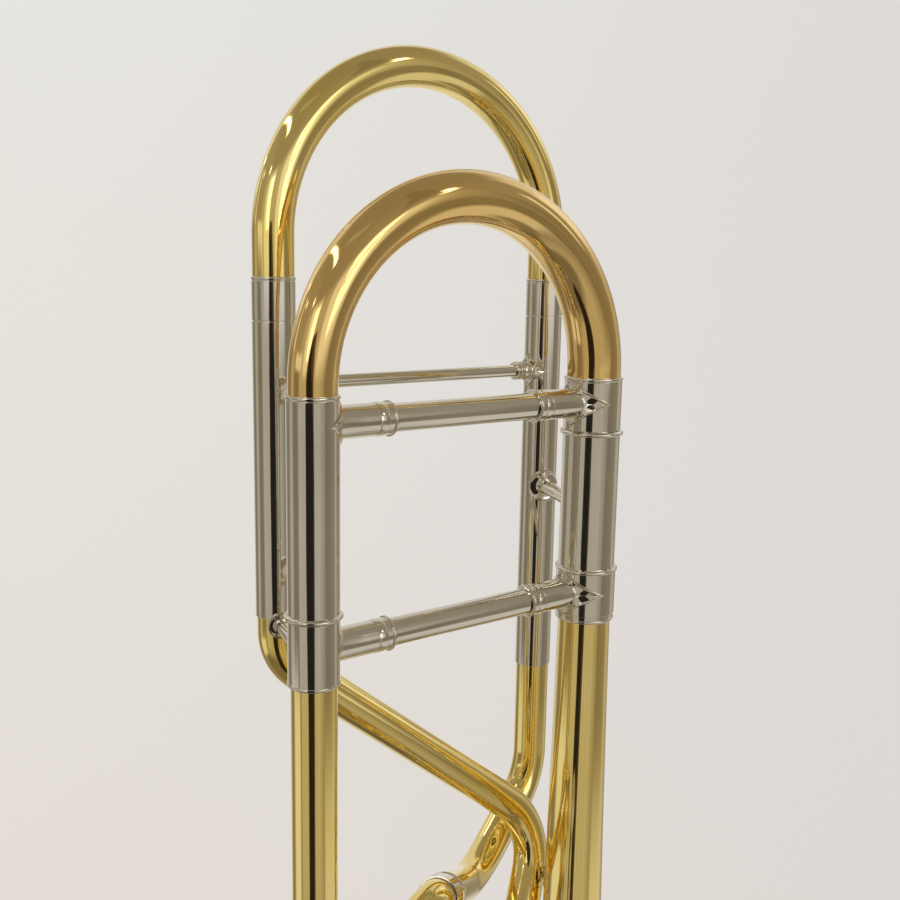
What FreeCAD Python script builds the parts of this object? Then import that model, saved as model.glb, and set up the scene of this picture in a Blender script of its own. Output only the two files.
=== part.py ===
# Tenor trombone with an open-wrap F attachment, standing crooks up, bell mouth down.
# Millimetres. Origin: centre of the bell rim. +Z up along the bell axis.
# The neckpipe column stands at -X of the bell, the F attachment loop at +Y of both,
# and the hand slide hangs from the neckpipe column with its mouthpiece tube towards -Y.
import FreeCAD, Part
import math
import os
import re
import Sketcher

Vector = FreeCAD.Vector
doc = FreeCAD.newDocument("Trombone")

# Driving dimensions: alias, value, meaning.
SIZES = [
    ("mainSpan", 131.0, "bell axis to neckpipe axis"),
    ("mainCrookZ", 595.0, "centre of the main tuning slide crook"),
    ("tubeWall", 0.6, "wall of the drawn tubes"),
    ("runGap", 0.05, "radial clearance of a slide or bearing"),
    ("bodyGap", 0.3, "gap between pieces that part company"),
    ("sleeveR", 9.25, "left sleeve and neckpipe ferrule, outside"),
    ("neckMaleR", 8.55, "male leg on the neckpipe side"),
    ("crookSmallR", 8.6, "main crook, neckpipe end"),
    ("receiverR", 11.7, "bell side sleeve and ferrule, outside"),
    ("crookLargeR", 10.9, "main crook, bell end, and its male leg"),
    ("collarR", 12.4, "collar over the bell stem"),
    ("sleeveTopZ", 592.5, "top of both main slide sleeves"),
    ("sleeveLowZ", 514.3, "mouth of the left sleeve"),
    ("ferruleLowZ", 490.2, "bottom of the neckpipe ferrule and bell collar"),
    ("collarTopZ", 513.1, "top of the bell collar"),
    ("collarStep", 3.0, "lip below the collar's thick part"),
    ("collarBore", 11.0, "collar, inside"),
    ("receiverTopZ", 570.7, "mouth of the bell side receiver tube"),
    ("crookLegZ", 581.5, "ends of the main crook inside its sleeves"),
    ("maleLowZ", 500.0, "bottom of the male legs"),
    ("beadR", 1.0, "bead ring section"),
    ("braceR", 5.25, "thick brace tube"),
    ("socketR", 6.0, "brace socket"),
    ("socketLong", 22.0, "brace socket beyond the leg"),
    ("seatDeep", 2.0, "brace tube held off the leg"),
    ("socketBeadR", 0.8, "bead at a socket's mouth"),
    ("wingReach", 10.0, "saddle wing to each side"),
    ("wingRise", 8.4, "saddle wing up and down"),
    ("wingThick", 0.9, "saddle wing"),
    ("upperBraceZ", 582.3, "brace of the main slide"),
    ("lowerBraceZ", 502.7, "brace between neckpipe and bell"),
    ("neckR", 8.3, "neckpipe, outside"),
    ("loopY", 56.0, "plane of the F attachment loop"),
    ("loopLeftX", -116.2, "left leg of the F attachment loop"),
    ("loopRightX", 21.6, "right leg of the F attachment loop"),
    ("loopCrookZ", 645.8, "centre of the F slide crook"),
    ("loopCrookR", 8.05, "F slide crook, outside"),
    ("loopSleeveR", 8.4, "F slide outer tubes and ferrules"),
    ("loopMaleR", 7.75, "F slide male legs"),
    ("loopSplitZ", 614.0, "joint line of the F slide"),
    ("loopFerruleZ", 630.7, "top of the F slide ferrules"),
    ("loopLeftLowZ", 497.2, "bottom of the left outer tube"),
    ("loopRightLowZ", 447.1, "bottom of the right outer tube"),
    ("loopBraceZ", 589.5, "thin brace of the F attachment"),
    ("loopBraceR", 2.7, "thin brace tube"),
    ("loopSocketR", 3.9, "thin brace socket"),
    ("loopSocketLong", 9.0, "thin brace socket beyond the leg"),
    ("loopWingReach", 7.8, "thin brace wing to each side"),
    ("loopWingRise", 7.5, "thin brace wing up and down"),
    ("loopMaleLong", 100.0, "F slide male legs below the ferrules"),
    ("crookSeat", 10.0, "F crook legs inside their ferrules"),
    ("wrapR", 7.8, "wrap tubing, outside"),
    ("wrapSeat", 12.0, "wrap tubing inside the outer tubes"),
    ("claspR", 8.7, "ferrules on the wrap"),
    ("claspStart", 11.6, "wrap ferrule from the port's corner"),
    ("claspLong", 14.0, "wrap ferrule"),
    ("neckBendR", 18.0, "bend of the neckpipe into the valve"),
    ("footThick", 1.1, "feet of the stays"),
    ("loopStayZ", 536.0, "stay between receiver tube and F loop"),
    ("neckStayZ", 495.0, "stay between neckpipe ferrule and F loop"),
    ("bellStayZ", 362.0, "stay between bell stem and wrap"),
    ("bellStayR", 3.2, "post of that stay"),
    ("bellRimR", 106.5, "bell wall at the rim"),
    ("bellStemR", 5.0, "limit the flare formula falls to"),
    ("flareScale", 30.2, "length scale of the flare formula"),
    ("bellWall", 0.7, "bell wall"),
    ("bellTopZ", 497.5, "top of the bell stem"),
    ("seamGap", 0.5, "bell stem to the receiver tube"),
    ("rimWireR", 1.5, "rolled rim"),
    ("bellSeamZ", 100.0, "seam where the flare is brazed to the stem"),
    ("valveOffset", 26.0, "valve axis from the neckpipe axis"),
    ("valveZ", 360.0, "valve axis height"),
    ("casingR", 21.0, "valve casing, outside"),
    ("rotorR", 17.0, "rotor"),
    ("casingHalf", 20.0, "half length of the casing"),
    ("portR", 9.0, "port stub, outside"),
    ("neckPortLong", 29.0, "valve axis to the mouth of a neckpipe stub"),
    ("wrapPortLong", 25.0, "valve axis to the mouth of a wrap stub"),
    ("portSeat", 22.5, "valve axis to the end of a tube in its stub"),
    ("spindleR", 4.0, "rotor spindle"),
    ("rotorEndGap", 0.2, "rotor to each bearing plate"),
    ("plateThick", 3.0, "front bearing plate"),
    ("capDeep", 5.0, "valve cap over the casing's end"),
    ("armY", -31.0, "front of the stop arm"),
    ("armThick", 3.0, "stop arm"),
    ("bumperReach", 12.0, "stop bumpers from the rotor axis"),
    ("bumperSwing", 29.5, "stop bumpers from the arm's tail at rest"),
    ("keyAngle", 238.0, "water key nipple round the bow"),
    ("keyPivotAngle", 196.0, "water key pivot round the bow"),
    ("linkReach", 12.0, "stop arm pin from the rotor axis"),
    ("leverReach", 34.0, "lever pin from the lever pivot"),
    ("leverZ", 304.5, "lever pivot height"),
    ("leverPinR", 2.0, "pins of the linkage"),
    ("linkY", -35.0, "plane of the link rod"),
    ("receiverNeckR", 10.6, "slide receiver, outside"),
    ("bellBraceZ", 284.0, "brace between slide receiver and bell"),
    ("nutLowZ", 256.0, "bottom of the lock nut"),
    ("nutTopZ", 275.7, "top of the lock nut"),
    ("nutR", 14.5, "lock nut over the knurl"),
    ("slideSpan", 84.0, "hand slide, axis to axis"),
    ("barrelR", 9.6, "cork barrel, outside"),
    ("barrelBore", 8.9, "cork barrel, inside"),
    ("barrelLowZ", 212.0, "mouth of the cork barrels"),
    ("barrelTopZ", 255.0, "top of the cork barrels"),
    ("innerSlideR", 7.2, "inner slide tubes, outside"),
    ("stockingR", 7.3, "stockings of the inner slide tubes"),
    ("outerSlideR", 8.0, "outer slide tubes, outside"),
    ("innerSlideLowZ", -400.0, "bottom of the inner slide tubes"),
    ("outerSlideTopZ", 246.5, "top of the outer slide tubes"),
    ("bowZ", -440.0, "centre of the hand slide bow"),
    ("bowR", 8.4, "hand slide bow, outside"),
    ("innerBraceZ", 232.0, "fixed grip of the hand slide"),
    ("outerBraceZ", 195.0, "moving grip of the hand slide"),
    ("gripR", 4.8, "grip tubes of the hand slide"),
    ("gripWall", 0.8, "sleeves of the grips"),
    ("fixedGripLong", 16.0, "sleeves of the fixed grip"),
    ("movingGripLong", 20.0, "sleeves of the moving grip"),
    ("stockingLong", 125.0, "stockings"),
    ("leadpipeLong", 190.0, "leadpipe"),
    ("bowSeat", 12.0, "legs of the bow in their ferrules"),
    ("cupTopZ", 348.0, "mouthpiece rim"),
]

sheet = doc.addObject("Spreadsheet::Sheet", "Sizes")
for row, (alias, value, meaning) in enumerate(SIZES, start=1):
    sheet.set("A%d" % row, alias)
    sheet.set("B%d" % row, str(value))
    sheet.set("C%d" % row, meaning)
    sheet.setAlias("B%d" % row, alias)
doc.recompute()
ALIASES = {alias for alias, value, meaning in SIZES}
size = {alias: float(sheet.get(alias)) for alias in ALIASES}

# Turns that lay a primitive's own Z along a row axis.
TURNS = {
    "X": FreeCAD.Rotation(Vector(0, 1, 0), 90),
    "Y": FreeCAD.Rotation(Vector(1, 0, 0), -90),
    "-Y": FreeCAD.Rotation(Vector(1, 0, 0), 90),
    "Z": FreeCAD.Rotation(),
}
parts = {}


def full(expression):
    """An expression in aliases, written the way the document wants it."""
    def named(match):
        word = match.group(0)
        return "Sizes." + word if word in ALIASES else word
    return re.sub(r"[A-Za-z]\w*", named, str(expression))


def worth(expression):
    return float(sheet.evalExpression(full(expression)))


def bind(obj, **expressions):
    for prop, expression in expressions.items():
        obj.setExpression(prop, full(expression))
    return obj


def place(obj, spot, turn=None):
    obj.Placement = FreeCAD.Placement(Vector(), turn or FreeCAD.Rotation())
    for letter, expression in zip("xyz", spot):
        obj.setExpression("Placement.Base." + letter, full(expression))
    return obj


def rod(name, radius, length, spot, axis="Z"):
    obj = doc.addObject("Part::Cylinder", name)
    return place(bind(obj, Radius=radius, Height=length), spot, TURNS[axis])


def cone(name, low, high, length, spot):
    obj = doc.addObject("Part::Cone", name)
    return place(bind(obj, Radius1=low, Radius2=high, Height=length), spot)


def ring(name, radius, section, spot, axis="Z"):
    obj = doc.addObject("Part::Torus", name)
    return place(bind(obj, Radius1=radius, Radius2=section), spot, TURNS[axis])


def block(name, sides, spot):
    obj = doc.addObject("Part::Box", name)
    return place(bind(obj, Length=sides[0], Width=sides[1], Height=sides[2]), spot)


def fuse(name, *shapes):
    obj = doc.addObject("Part::MultiFuse", name)
    obj.Shapes = list(shapes)
    return obj


def cut(name, base, *tools):
    obj = doc.addObject("Part::Cut", name)
    obj.Base = base
    obj.Tool = tools[0] if len(tools) == 1 else fuse(name + "_tools", *tools)
    return obj


def group(name, *shapes):
    """Several separate solids of one kind."""
    obj = doc.addObject("Part::Compound", name)
    obj.Links = list(shapes)
    return obj


def pipe(name, outer, inner, length, spot, axis="Z"):
    return cut(name, rod(name + "_outside", outer, length, spot, axis),
               rod(name + "_bore", inner, length, spot, axis))


def feature(name, shape):
    obj = doc.addObject("Part::Feature", name)
    obj.Shape = shape
    return obj


def keep(obj):
    parts[obj.Label] = obj


# ---- bodies from sketched outlines

def outline(body, name, plane, points):
    """A closed outline of straight sides, every corner held by two distances."""
    sketch = body.newObject("Sketcher::SketchObject", name)
    origin = [f for f in body.Origin.OriginFeatures if f.Role == plane][0]
    sketch.AttachmentSupport = [(origin, "")]
    sketch.MapMode = "FlatFace"
    spots = [Vector(worth(u), worth(v), 0) for u, v in points]
    count = len(spots)
    for index in range(count):
        sketch.addGeometry(Part.LineSegment(spots[index], spots[(index + 1) % count]), False)
    for index in range(count):
        sketch.addConstraint(Sketcher.Constraint("Coincident", index, 2, (index + 1) % count, 1))
    for index, (u, v) in enumerate(points):
        for kind, axis, expression in (("DistanceX", -2, u), ("DistanceY", -1, v)):
            value = worth(expression)
            if abs(value) < 1e-9:
                sketch.addConstraint(Sketcher.Constraint("PointOnObject", index, 1, axis))
            else:
                number = sketch.addConstraint(
                    Sketcher.Constraint(kind, -1, 1, index, 1, value))
                sketch.setExpression("Constraints[%d]" % number, full(expression))
    return sketch


def turned(name, points, spot, axis="Z"):
    """A body turned about its own axis from (radius, height) corners."""
    body = doc.addObject("PartDesign::Body", name)
    sketch = outline(body, name + "_outline", "XZ_Plane", points)
    revolve = body.newObject("PartDesign::Revolution", name + "_turning")
    revolve.Profile = sketch
    revolve.ReferenceAxis = (sketch, ["V_Axis"])
    revolve.Angle = 360
    body.Tip = revolve
    return place(body, spot, TURNS[axis])


# ---- bent tubing

def route(points, radii):
    """Straight runs joined by tangent arcs, one radius for each corner."""
    edges = []
    start = points[0]
    for index, radius in enumerate(radii, start=1):
        corner = points[index]
        arrive = (corner - points[index - 1]).normalize()
        leave = (points[index + 1] - corner).normalize()
        turn = math.acos(arrive.dot(leave))
        back = radius * math.tan(turn / 2)
        first = corner - arrive * back
        last = corner + leave * back
        inward = (leave - arrive).normalize()
        middle = corner + inward * (radius / math.cos(turn / 2) - radius)
        edges.append(Part.LineSegment(start, first).toShape())
        edges.append(Part.Arc(first, middle, last).toShape())
        start = last
    edges.append(Part.LineSegment(start, points[-1]).toShape())
    return Part.Wire(edges)


def swept(wire, radius):
    edge = wire.Edges[0]
    start = edge.valueAt(edge.FirstParameter)
    along = edge.tangentAt(edge.FirstParameter)
    circle = Part.Wire([Part.Circle(start, along, radius).toShape()])
    return wire.makePipeShell([circle], True, False)


def bentTube(name, points, radii, outer, wall):
    wire = route(points, radii)
    return feature(name, swept(wire, outer).cut(swept(wire, outer - wall)))


# ---- braces: sockets with pointed saddle wings that wrap the legs

def saddleWing(leg, centre, radius, facing, reach, rise):
    """A pointed plate on a vertical leg, its middle towards 'facing'."""
    height = centre.z
    thick = size["wingThick"]
    across = Vector(-facing.y, facing.x, 0)
    corners = [
        centre + across * reach, centre + Vector(0, 0, rise),
        centre - across * reach, centre - Vector(0, 0, rise),
    ]
    lozenge = Part.Face(Part.makePolygon(corners + corners[:1]))
    prism = lozenge.extrude(facing * (radius + thick + 1))
    low = Vector(leg.x, leg.y, height - rise - 1)
    shell = Part.makeCylinder(radius + thick, 2 * rise + 2, low)
    shell = shell.cut(Part.makeCylinder(radius, 2 * rise + 2, low))
    return prism.common(shell)


def socket(leg, radius, z, facing, tubeR, outer, length, reach, rise):
    """One cast brace end: wing, socket and bead, bored for the brace tube."""
    centre = Vector(leg.x, leg.y, z)
    body = Part.makeCylinder(outer, radius + length, centre, facing)
    beadBack = 1.5 * size["socketBeadR"]
    mouth = centre + facing * (radius + length - beadBack)
    body = body.fuse(Part.makeTorus(outer, size["socketBeadR"], mouth, facing))
    body = body.fuse(saddleWing(leg, centre, radius, facing, reach, rise))
    seat = centre + facing * (radius + size["seatDeep"])
    body = body.cut(Part.makeCylinder(tubeR, length, seat, facing))
    legHalf = 4 * rise
    low = Vector(leg.x, leg.y, z - legHalf)
    return body.cut(Part.makeCylinder(radius, 2 * legHalf, low)).removeSplitter()


def brace(name, leftLeg, leftR, rightLeg, rightR, z, tubeR, outer, length, reach, rise):
    """A brace tube and the pair of sockets that hold it."""
    gap = rightLeg - leftLeg
    facing = Vector(gap).normalize()
    begin = Vector(leftLeg.x, leftLeg.y, z) + facing * (leftR + size["seatDeep"])
    span = gap.Length - leftR - rightR - 2 * size["seatDeep"]
    tube = Part.makeCylinder(tubeR, span, begin, facing)
    hollow = Part.makeCylinder(tubeR - size["tubeWall"], span, begin, facing)
    left = socket(leftLeg, leftR, z, facing, tubeR, outer, length, reach, rise)
    right = socket(rightLeg, rightR, z, facing * -1, tubeR, outer, length, reach, rise)
    keep(feature(name + "_tube", tube.cut(hollow)))
    keep(feature(name + "_sockets", Part.makeCompound([left, right])))


neck = Vector(-size["mainSpan"], 0, 0)
bell = Vector(0, 0, 0)
loopLeft = Vector(size["loopLeftX"], size["loopY"], 0)
loopRight = Vector(size["loopRightX"], size["loopY"], 0)
NECK = "-mainSpan"

# ---- main tuning slide: crook, long left sleeve, short right ferrule with a male leg

mainR = size["mainSpan"] / 2
crookMiddle = Vector(-mainR, 0, size["mainCrookZ"])


def taperedCrook(small, large):
    """Half ring from the neckpipe leg over to the bell leg, widening evenly."""
    arc = Part.Arc(crookMiddle + Vector(-mainR, 0, 0), crookMiddle + Vector(0, 0, mainR),
                   crookMiddle + Vector(mainR, 0, 0)).toShape()
    down = Vector(0, 0, -1)
    ends = []
    for spot, radius in ((Vector(-mainR, 0, 0), small), (Vector(mainR, 0, 0), large)):
        ends.append(Part.Wire([Part.Circle(crookMiddle + spot, down, radius).toShape()]))
    bend = Part.Wire([arc]).makePipeShell(ends, True, False)
    drop = size["mainCrookZ"] - size["crookLegZ"]
    for spot, radius in ((Vector(-mainR, 0, 0), small), (Vector(mainR, 0, 0), large)):
        bend = bend.fuse(Part.makeCylinder(radius, drop, crookMiddle + spot, down))
    return bend


keep(feature("main_crook", taperedCrook(size["crookSmallR"], size["crookLargeR"]).cut(
    taperedCrook(size["crookSmallR"] - size["tubeWall"],
                 size["crookLargeR"] - size["tubeWall"]))))
keep(cut("main_sleeve_left",
         fuse("main_sleeve_left_solid",
              rod("main_sleeve_left_outside", "sleeveR", "sleeveTopZ - sleeveLowZ",
                  (NECK, 0, "sleeveLowZ")),
              ring("main_sleeve_left_bead", "sleeveR + 0.2", "beadR",
                   (NECK, 0, "sleeveLowZ + beadR"))),
         rod("main_sleeve_left_bore", "crookSmallR", "sleeveTopZ - sleeveLowZ + 4",
             (NECK, 0, "sleeveLowZ - 2"))))
keep(pipe("main_ferrule_right", "receiverR", "crookLargeR",
          "sleeveTopZ - receiverTopZ - bodyGap", (0, 0, "receiverTopZ + bodyGap")))
keep(pipe("main_male_leg", "crookLargeR", "crookLargeR - tubeWall",
          "crookLegZ - maleLowZ", (0, 0, "maleLowZ")))
brace("main_brace", neck, size["sleeveR"], bell, size["receiverR"], size["upperBraceZ"],
      size["braceR"], size["socketR"], size["socketLong"], size["wingReach"], size["wingRise"])

# ---- what the main slide runs in, and the neckpipe column

keep(cut("bell_receiver_tube",
         fuse("bell_receiver_solid",
              rod("bell_receiver_outside", "receiverR", "receiverTopZ - bellTopZ - seamGap",
                  (0, 0, "bellTopZ + seamGap")),
              ring("bell_receiver_bead", "receiverR + 0.3", "beadR",
                   (0, 0, "receiverTopZ - beadR"))),
         rod("bell_receiver_bore", "crookLargeR + runGap", "receiverTopZ - bellTopZ + 2",
             (0, 0, "bellTopZ - 1"))))
keep(cut("bell_collar",
         fuse("bell_collar_solid",
              rod("bell_collar_outside", "collarR - 0.4", "collarTopZ - ferruleLowZ",
                  (0, 0, "ferruleLowZ")),
              rod("bell_collar_step", "collarR", "collarTopZ - ferruleLowZ - collarStep",
                  (0, 0, "ferruleLowZ + collarStep")),
              ring("bell_collar_bead", "collarR - 0.2", "socketBeadR",
                   (0, 0, "collarTopZ - beadR"))),
         rod("bell_collar_seat", "receiverR", "collarTopZ - bellTopZ",
             (0, 0, "bellTopZ + seamGap")),
         rod("bell_collar_bore", "collarBore", "collarTopZ - ferruleLowZ",
             (0, 0, "ferruleLowZ - 2"))))
keep(pipe("neckpipe_ferrule", "sleeveR", "neckMaleR", "sleeveLowZ - bodyGap - ferruleLowZ",
          (NECK, 0, "ferruleLowZ")))
keep(pipe("neckpipe_male_leg", "neckMaleR", "neckMaleR - tubeWall",
          "crookLegZ - 1 - maleLowZ", (NECK, 0, "maleLowZ")))
brace("lower_brace", neck, size["sleeveR"], bell, size["collarR"], size["lowerBraceZ"],
      size["braceR"], size["socketR"], size["socketLong"], size["wingReach"], size["wingRise"])

# Valve ports stand on the diagonals of the casing.
valve = Vector(size["valveOffset"] - size["mainSpan"], 0, size["valveZ"])
HALF = math.sqrt(0.5)


def port(side, level, distance):
    return valve + Vector(side * HALF, 0, level * HALF) * distance


cornerReach = size["valveOffset"] / HALF
keep(bentTube("neckpipe_upper",
              [Vector(neck.x, 0, size["maleLowZ"]), port(-1, 1, cornerReach),
               port(-1, 1, size["portSeat"])],
              [size["neckBendR"]], size["neckR"], size["tubeWall"]))
keep(bentTube("neckpipe_lower",
              [Vector(neck.x, 0, size["bellBraceZ"] - 4), port(-1, -1, cornerReach),
               port(-1, -1, size["portSeat"])],
              [size["neckBendR"]], size["neckR"], size["tubeWall"]))

# ---- F attachment loop

loopHalf = "(loopRightX - loopLeftX) / 2"
loopMiddle = "(loopRightX + loopLeftX) / 2"


def loopShape(name, radius):
    """The F crook's outside or inside: half ring and two straight legs."""
    bend = ring(name + "_bend", loopHalf, radius, (loopMiddle, "loopY", "loopCrookZ"), "Y")
    across = "(loopRightX - loopLeftX + 4 * loopCrookR)"
    half = block(name + "_half", (across, "4 * loopCrookR", across),
                 (loopMiddle + " - %s / 2" % across, "loopY - 2 * loopCrookR", "loopCrookZ"))
    arch = doc.addObject("Part::Common", name + "_arch")
    arch.Base = bend
    arch.Tool = half
    legs = [rod(name + "_leg", radius, "loopCrookZ - loopFerruleZ + crookSeat",
                (x, "loopY", "loopFerruleZ - crookSeat")) for x in ("loopLeftX", "loopRightX")]
    return fuse(name, arch, *legs)


keep(cut("f_crook", loopShape("f_crook_outside", "loopCrookR"),
         loopShape("f_crook_inside", "loopCrookR - tubeWall")))
LOOP = [("loopLeftX", "left"), ("loopRightX", "right")]
keep(group("f_ferrules", *[
    cut("f_ferrule_" + side,
        rod("f_ferrule_%s_outside" % side, "loopSleeveR", "loopFerruleZ - loopSplitZ - bodyGap",
            (x, "loopY", "loopSplitZ + bodyGap")),
        rod("f_ferrule_%s_seat" % side, "loopCrookR", "2 * crookSeat",
            (x, "loopY", "loopFerruleZ - crookSeat")),
        rod("f_ferrule_%s_bore" % side, "loopMaleR", "loopFerruleZ - loopSplitZ",
            (x, "loopY", "loopSplitZ - 1")))
    for x, side in LOOP]))
keep(group("f_male_legs", *[
    pipe("f_male_leg_" + side, "loopMaleR", "loopMaleR - tubeWall", "loopMaleLong",
         (x, "loopY", "loopFerruleZ - crookSeat - loopMaleLong")) for x, side in LOOP]))
for side, x, low in (("left", "loopLeftX", "loopLeftLowZ"), ("right", "loopRightX", "loopRightLowZ")):
    keep(pipe("f_outer_" + side, "loopSleeveR", "loopMaleR + runGap",
              "loopSplitZ - " + low, (x, "loopY", low)))
brace("f_brace", loopLeft, size["loopSleeveR"], loopRight, size["loopSleeveR"],
      size["loopBraceZ"], size["loopBraceR"], size["loopSocketR"], size["loopSocketLong"],
      size["loopWingReach"], size["loopWingRise"])

# Wrap tubing: the left leg crosses in front and comes back to the lower port,
# the right leg turns in behind it to the upper port.
lowerRun = [Vector(loopLeft.x, loopLeft.y, 478.5), Vector(6, 31, 379), Vector(-23, 13, 331)]
lowerBends = [24, 26, 24, 14]
upperRun = [Vector(loopRight.x, loopRight.y, 388), Vector(-23, 44, 352)]
upperBends = [30, 30, 14]
lowerStart = Vector(loopLeft.x, loopLeft.y, size["loopLeftLowZ"] + size["wrapSeat"])
upperStart = Vector(loopRight.x, loopRight.y, size["loopRightLowZ"] + size["wrapSeat"])
clasps = []


def clasp(start, end, radius, bore):
    """A ferrule round a straight run from one point to the next."""
    along = end - start
    shape = Part.makeCylinder(radius, along.Length, start, along)
    return shape.cut(Part.makeCylinder(bore, along.Length, start, along))


for name, start, run, bends, level in (("wrap_tube_lower", lowerStart, lowerRun, lowerBends, -1),
                                       ("wrap_tube_upper", upperStart, upperRun, upperBends, 1)):
    corner = port(1, level, cornerReach)
    keep(bentTube(name, [start, *run, corner, port(1, level, size["portSeat"])], bends,
                  size["wrapR"], size["tubeWall"]))
    along = (run[-1] - corner).normalize()
    begin = corner + along * size["claspStart"]
    clasps.append(clasp(begin, begin + along * size["claspLong"], size["claspR"], size["wrapR"]))
keep(feature("wrap_ferrules", Part.makeCompound(clasps)))


def strut(start, startR, end, endR, z, radius, discR):
    """A short solid stay between two vertical tubes, with a foot on each."""
    facing = Vector(end.x - start.x, end.y - start.y, 0)
    length = facing.Length
    facing.normalize()
    origin = Vector(start.x, start.y, z)
    shape = Part.makeCylinder(radius, length, origin, facing)
    for leg, legR, sense in ((start, startR, 1), (end, endR, -1)):
        foot = Part.makeCylinder(discR, 2 * legR, Vector(leg.x, leg.y, z), facing * sense)
        low = Vector(leg.x, leg.y, z - 2 * discR)
        skin = Part.makeCylinder(legR + size["footThick"], 4 * discR, low)
        shape = shape.fuse(foot.common(skin))
    for leg, legR in ((start, startR), (end, endR)):
        low = Vector(leg.x, leg.y, z - 2 * discR)
        shape = shape.cut(Part.makeCylinder(legR, 4 * discR, low))
    return shape.removeSplitter()


stays = [strut(bell, size["receiverR"], loopRight, size["loopSleeveR"], size["loopStayZ"], 3.2, 7.5),
         strut(neck, size["sleeveR"], loopLeft, size["loopSleeveR"], size["neckStayZ"], 2.8, 5.5)]

# ---- bell


def bellRadius(height):
    gain = size["bellRimR"] - size["bellStemR"]
    return size["bellStemR"] + gain / (1 + height / size["flareScale"])


def bellSolid(inset):
    """The flare as one turned outline, its stations closer together towards the rim."""
    steps = 26
    top = size["bellTopZ"]
    stations = [top * (step / steps) ** 2 for step in range(steps + 1)]
    curve = Part.BSplineCurve()
    curve.interpolate([Vector(bellRadius(z) - inset, 0, z) for z in stations])
    first = curve.StartPoint
    last = curve.EndPoint
    sides = [
        curve.toShape(),
        Part.LineSegment(last, Vector(0, 0, last.z)).toShape(),
        Part.LineSegment(Vector(0, 0, last.z), Vector(0, 0, first.z)).toShape(),
        Part.LineSegment(Vector(0, 0, first.z), first).toShape(),
    ]
    return Part.Face(Part.Wire(sides)).revolve(Vector(), Vector(0, 0, 1), 360)


rim = Part.makeTorus(size["bellRimR"], size["rimWireR"])
bellOuter = bellSolid(0)
bellInner = bellSolid(size["bellWall"])
wide = size["bellRimR"] + 10
below = Part.makeCylinder(wide, 6, Vector(0, 0, -6))
wholeBell = bellOuter.fuse(rim).cut(bellInner).cut(below).removeSplitter()
aboveSeam = Part.makeCylinder(wide, size["bellTopZ"], Vector(0, 0, size["bellSeamZ"]))
keep(feature("bell_flare", wholeBell.cut(aboveSeam)))
keep(feature("bell_stem", wholeBell.common(aboveSeam)))

# Short stay from the wrap tube to the bell stem, and the brace from the slide receiver.
stayZ = size["bellStayZ"]
stayR = bellRadius(stayZ)
north = Vector(0, 1, 0)
stay = Part.makeCylinder(size["bellStayR"], 16, Vector(0, stayR - 2, stayZ), north)
stay = stay.fuse(Part.makeCylinder(2 * size["bellStayR"], 2 * size["footThick"],
                                   Vector(0, stayR - 1, stayZ), north))
stay = stay.cut(bellOuter).cut(doc.getObject("wrap_tube_lower").Shape)
stay = stay.cut(swept(route(lowerRun, lowerBends[1:2]), size["wrapR"]))
stays.append(max(stay.Solids, key=lambda solid: solid.Volume))
keep(feature("tube_stays", Part.makeCompound(stays)))

braceZ = size["bellBraceZ"]
tubeStart = neck + Vector(size["receiverNeckR"] + size["seatDeep"], 0, braceZ)
bellFace = bellRadius(braceZ)
tubeLong = size["mainSpan"] - size["receiverNeckR"] - bellFace - size["seatDeep"] - 3
east = Vector(1, 0, 0)
braceTube = Part.makeCylinder(size["braceR"], tubeLong, tubeStart, east)
keep(feature("bell_brace_tube", braceTube.cut(
    Part.makeCylinder(size["braceR"] - size["tubeWall"], tubeLong, tubeStart, east))))
neckSocket = socket(neck, size["receiverNeckR"], braceZ, east, size["braceR"],
                    size["socketR"], 14, 8.0, 7.0)
bellSocketLong = 16
mouth = Vector(-bellFace - bellSocketLong, 0, braceZ)
beadSpot = mouth + east * (1.5 * size["socketBeadR"])
bellSocket = Part.makeCylinder(size["socketR"], 1.5 * bellSocketLong, mouth, east)
bellSocket = bellSocket.fuse(Part.makeTorus(size["socketR"], size["socketBeadR"], beadSpot, east))
bellSocket = bellSocket.fuse(Part.makeCone(size["socketR"], 10, 4,
                                           mouth + east * (bellSocketLong - 3.5), east))
bellSocket = bellSocket.cut(bellOuter)
bellSocket = bellSocket.cut(Part.makeCylinder(size["braceR"], bellSocketLong - 3, mouth, east))
keep(feature("bell_brace_sockets", Part.makeCompound([neckSocket, bellSocket.Solids[0]])))

# ---- rotary valve

VALVE = "valveOffset - mainSpan"
casing = Part.makeCylinder(size["casingR"], 2 * size["casingHalf"],
                           valve - north * size["casingHalf"], north)
stubStart = 5
throughHalf = 30
PORTS = [(-1, size["neckR"], size["neckPortLong"]), (1, size["wrapR"], size["wrapPortLong"])]
for side, seatR, mouth in PORTS:
    for level in (-1, 1):
        outward = port(side, level, 1) - valve
        casing = casing.fuse(Part.makeCylinder(size["portR"], mouth - stubStart,
                                               port(side, level, stubStart), outward))
casing = casing.cut(Part.makeCylinder(size["rotorR"] + size["runGap"], 2 * throughHalf,
                                      valve - north * throughHalf, north))
for side, seatR, mouth in PORTS:
    for level in (-1, 1):
        outward = port(side, level, 1) - valve
        casing = casing.cut(Part.makeCylinder(seatR, throughHalf,
                                              port(side, level, size["portSeat"]), outward))
        casing = casing.cut(Part.makeCylinder(seatR - size["tubeWall"], throughHalf,
                                              port(side, level, stubStart), outward))
keep(feature("valve_casing", casing.removeSplitter()))

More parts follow.
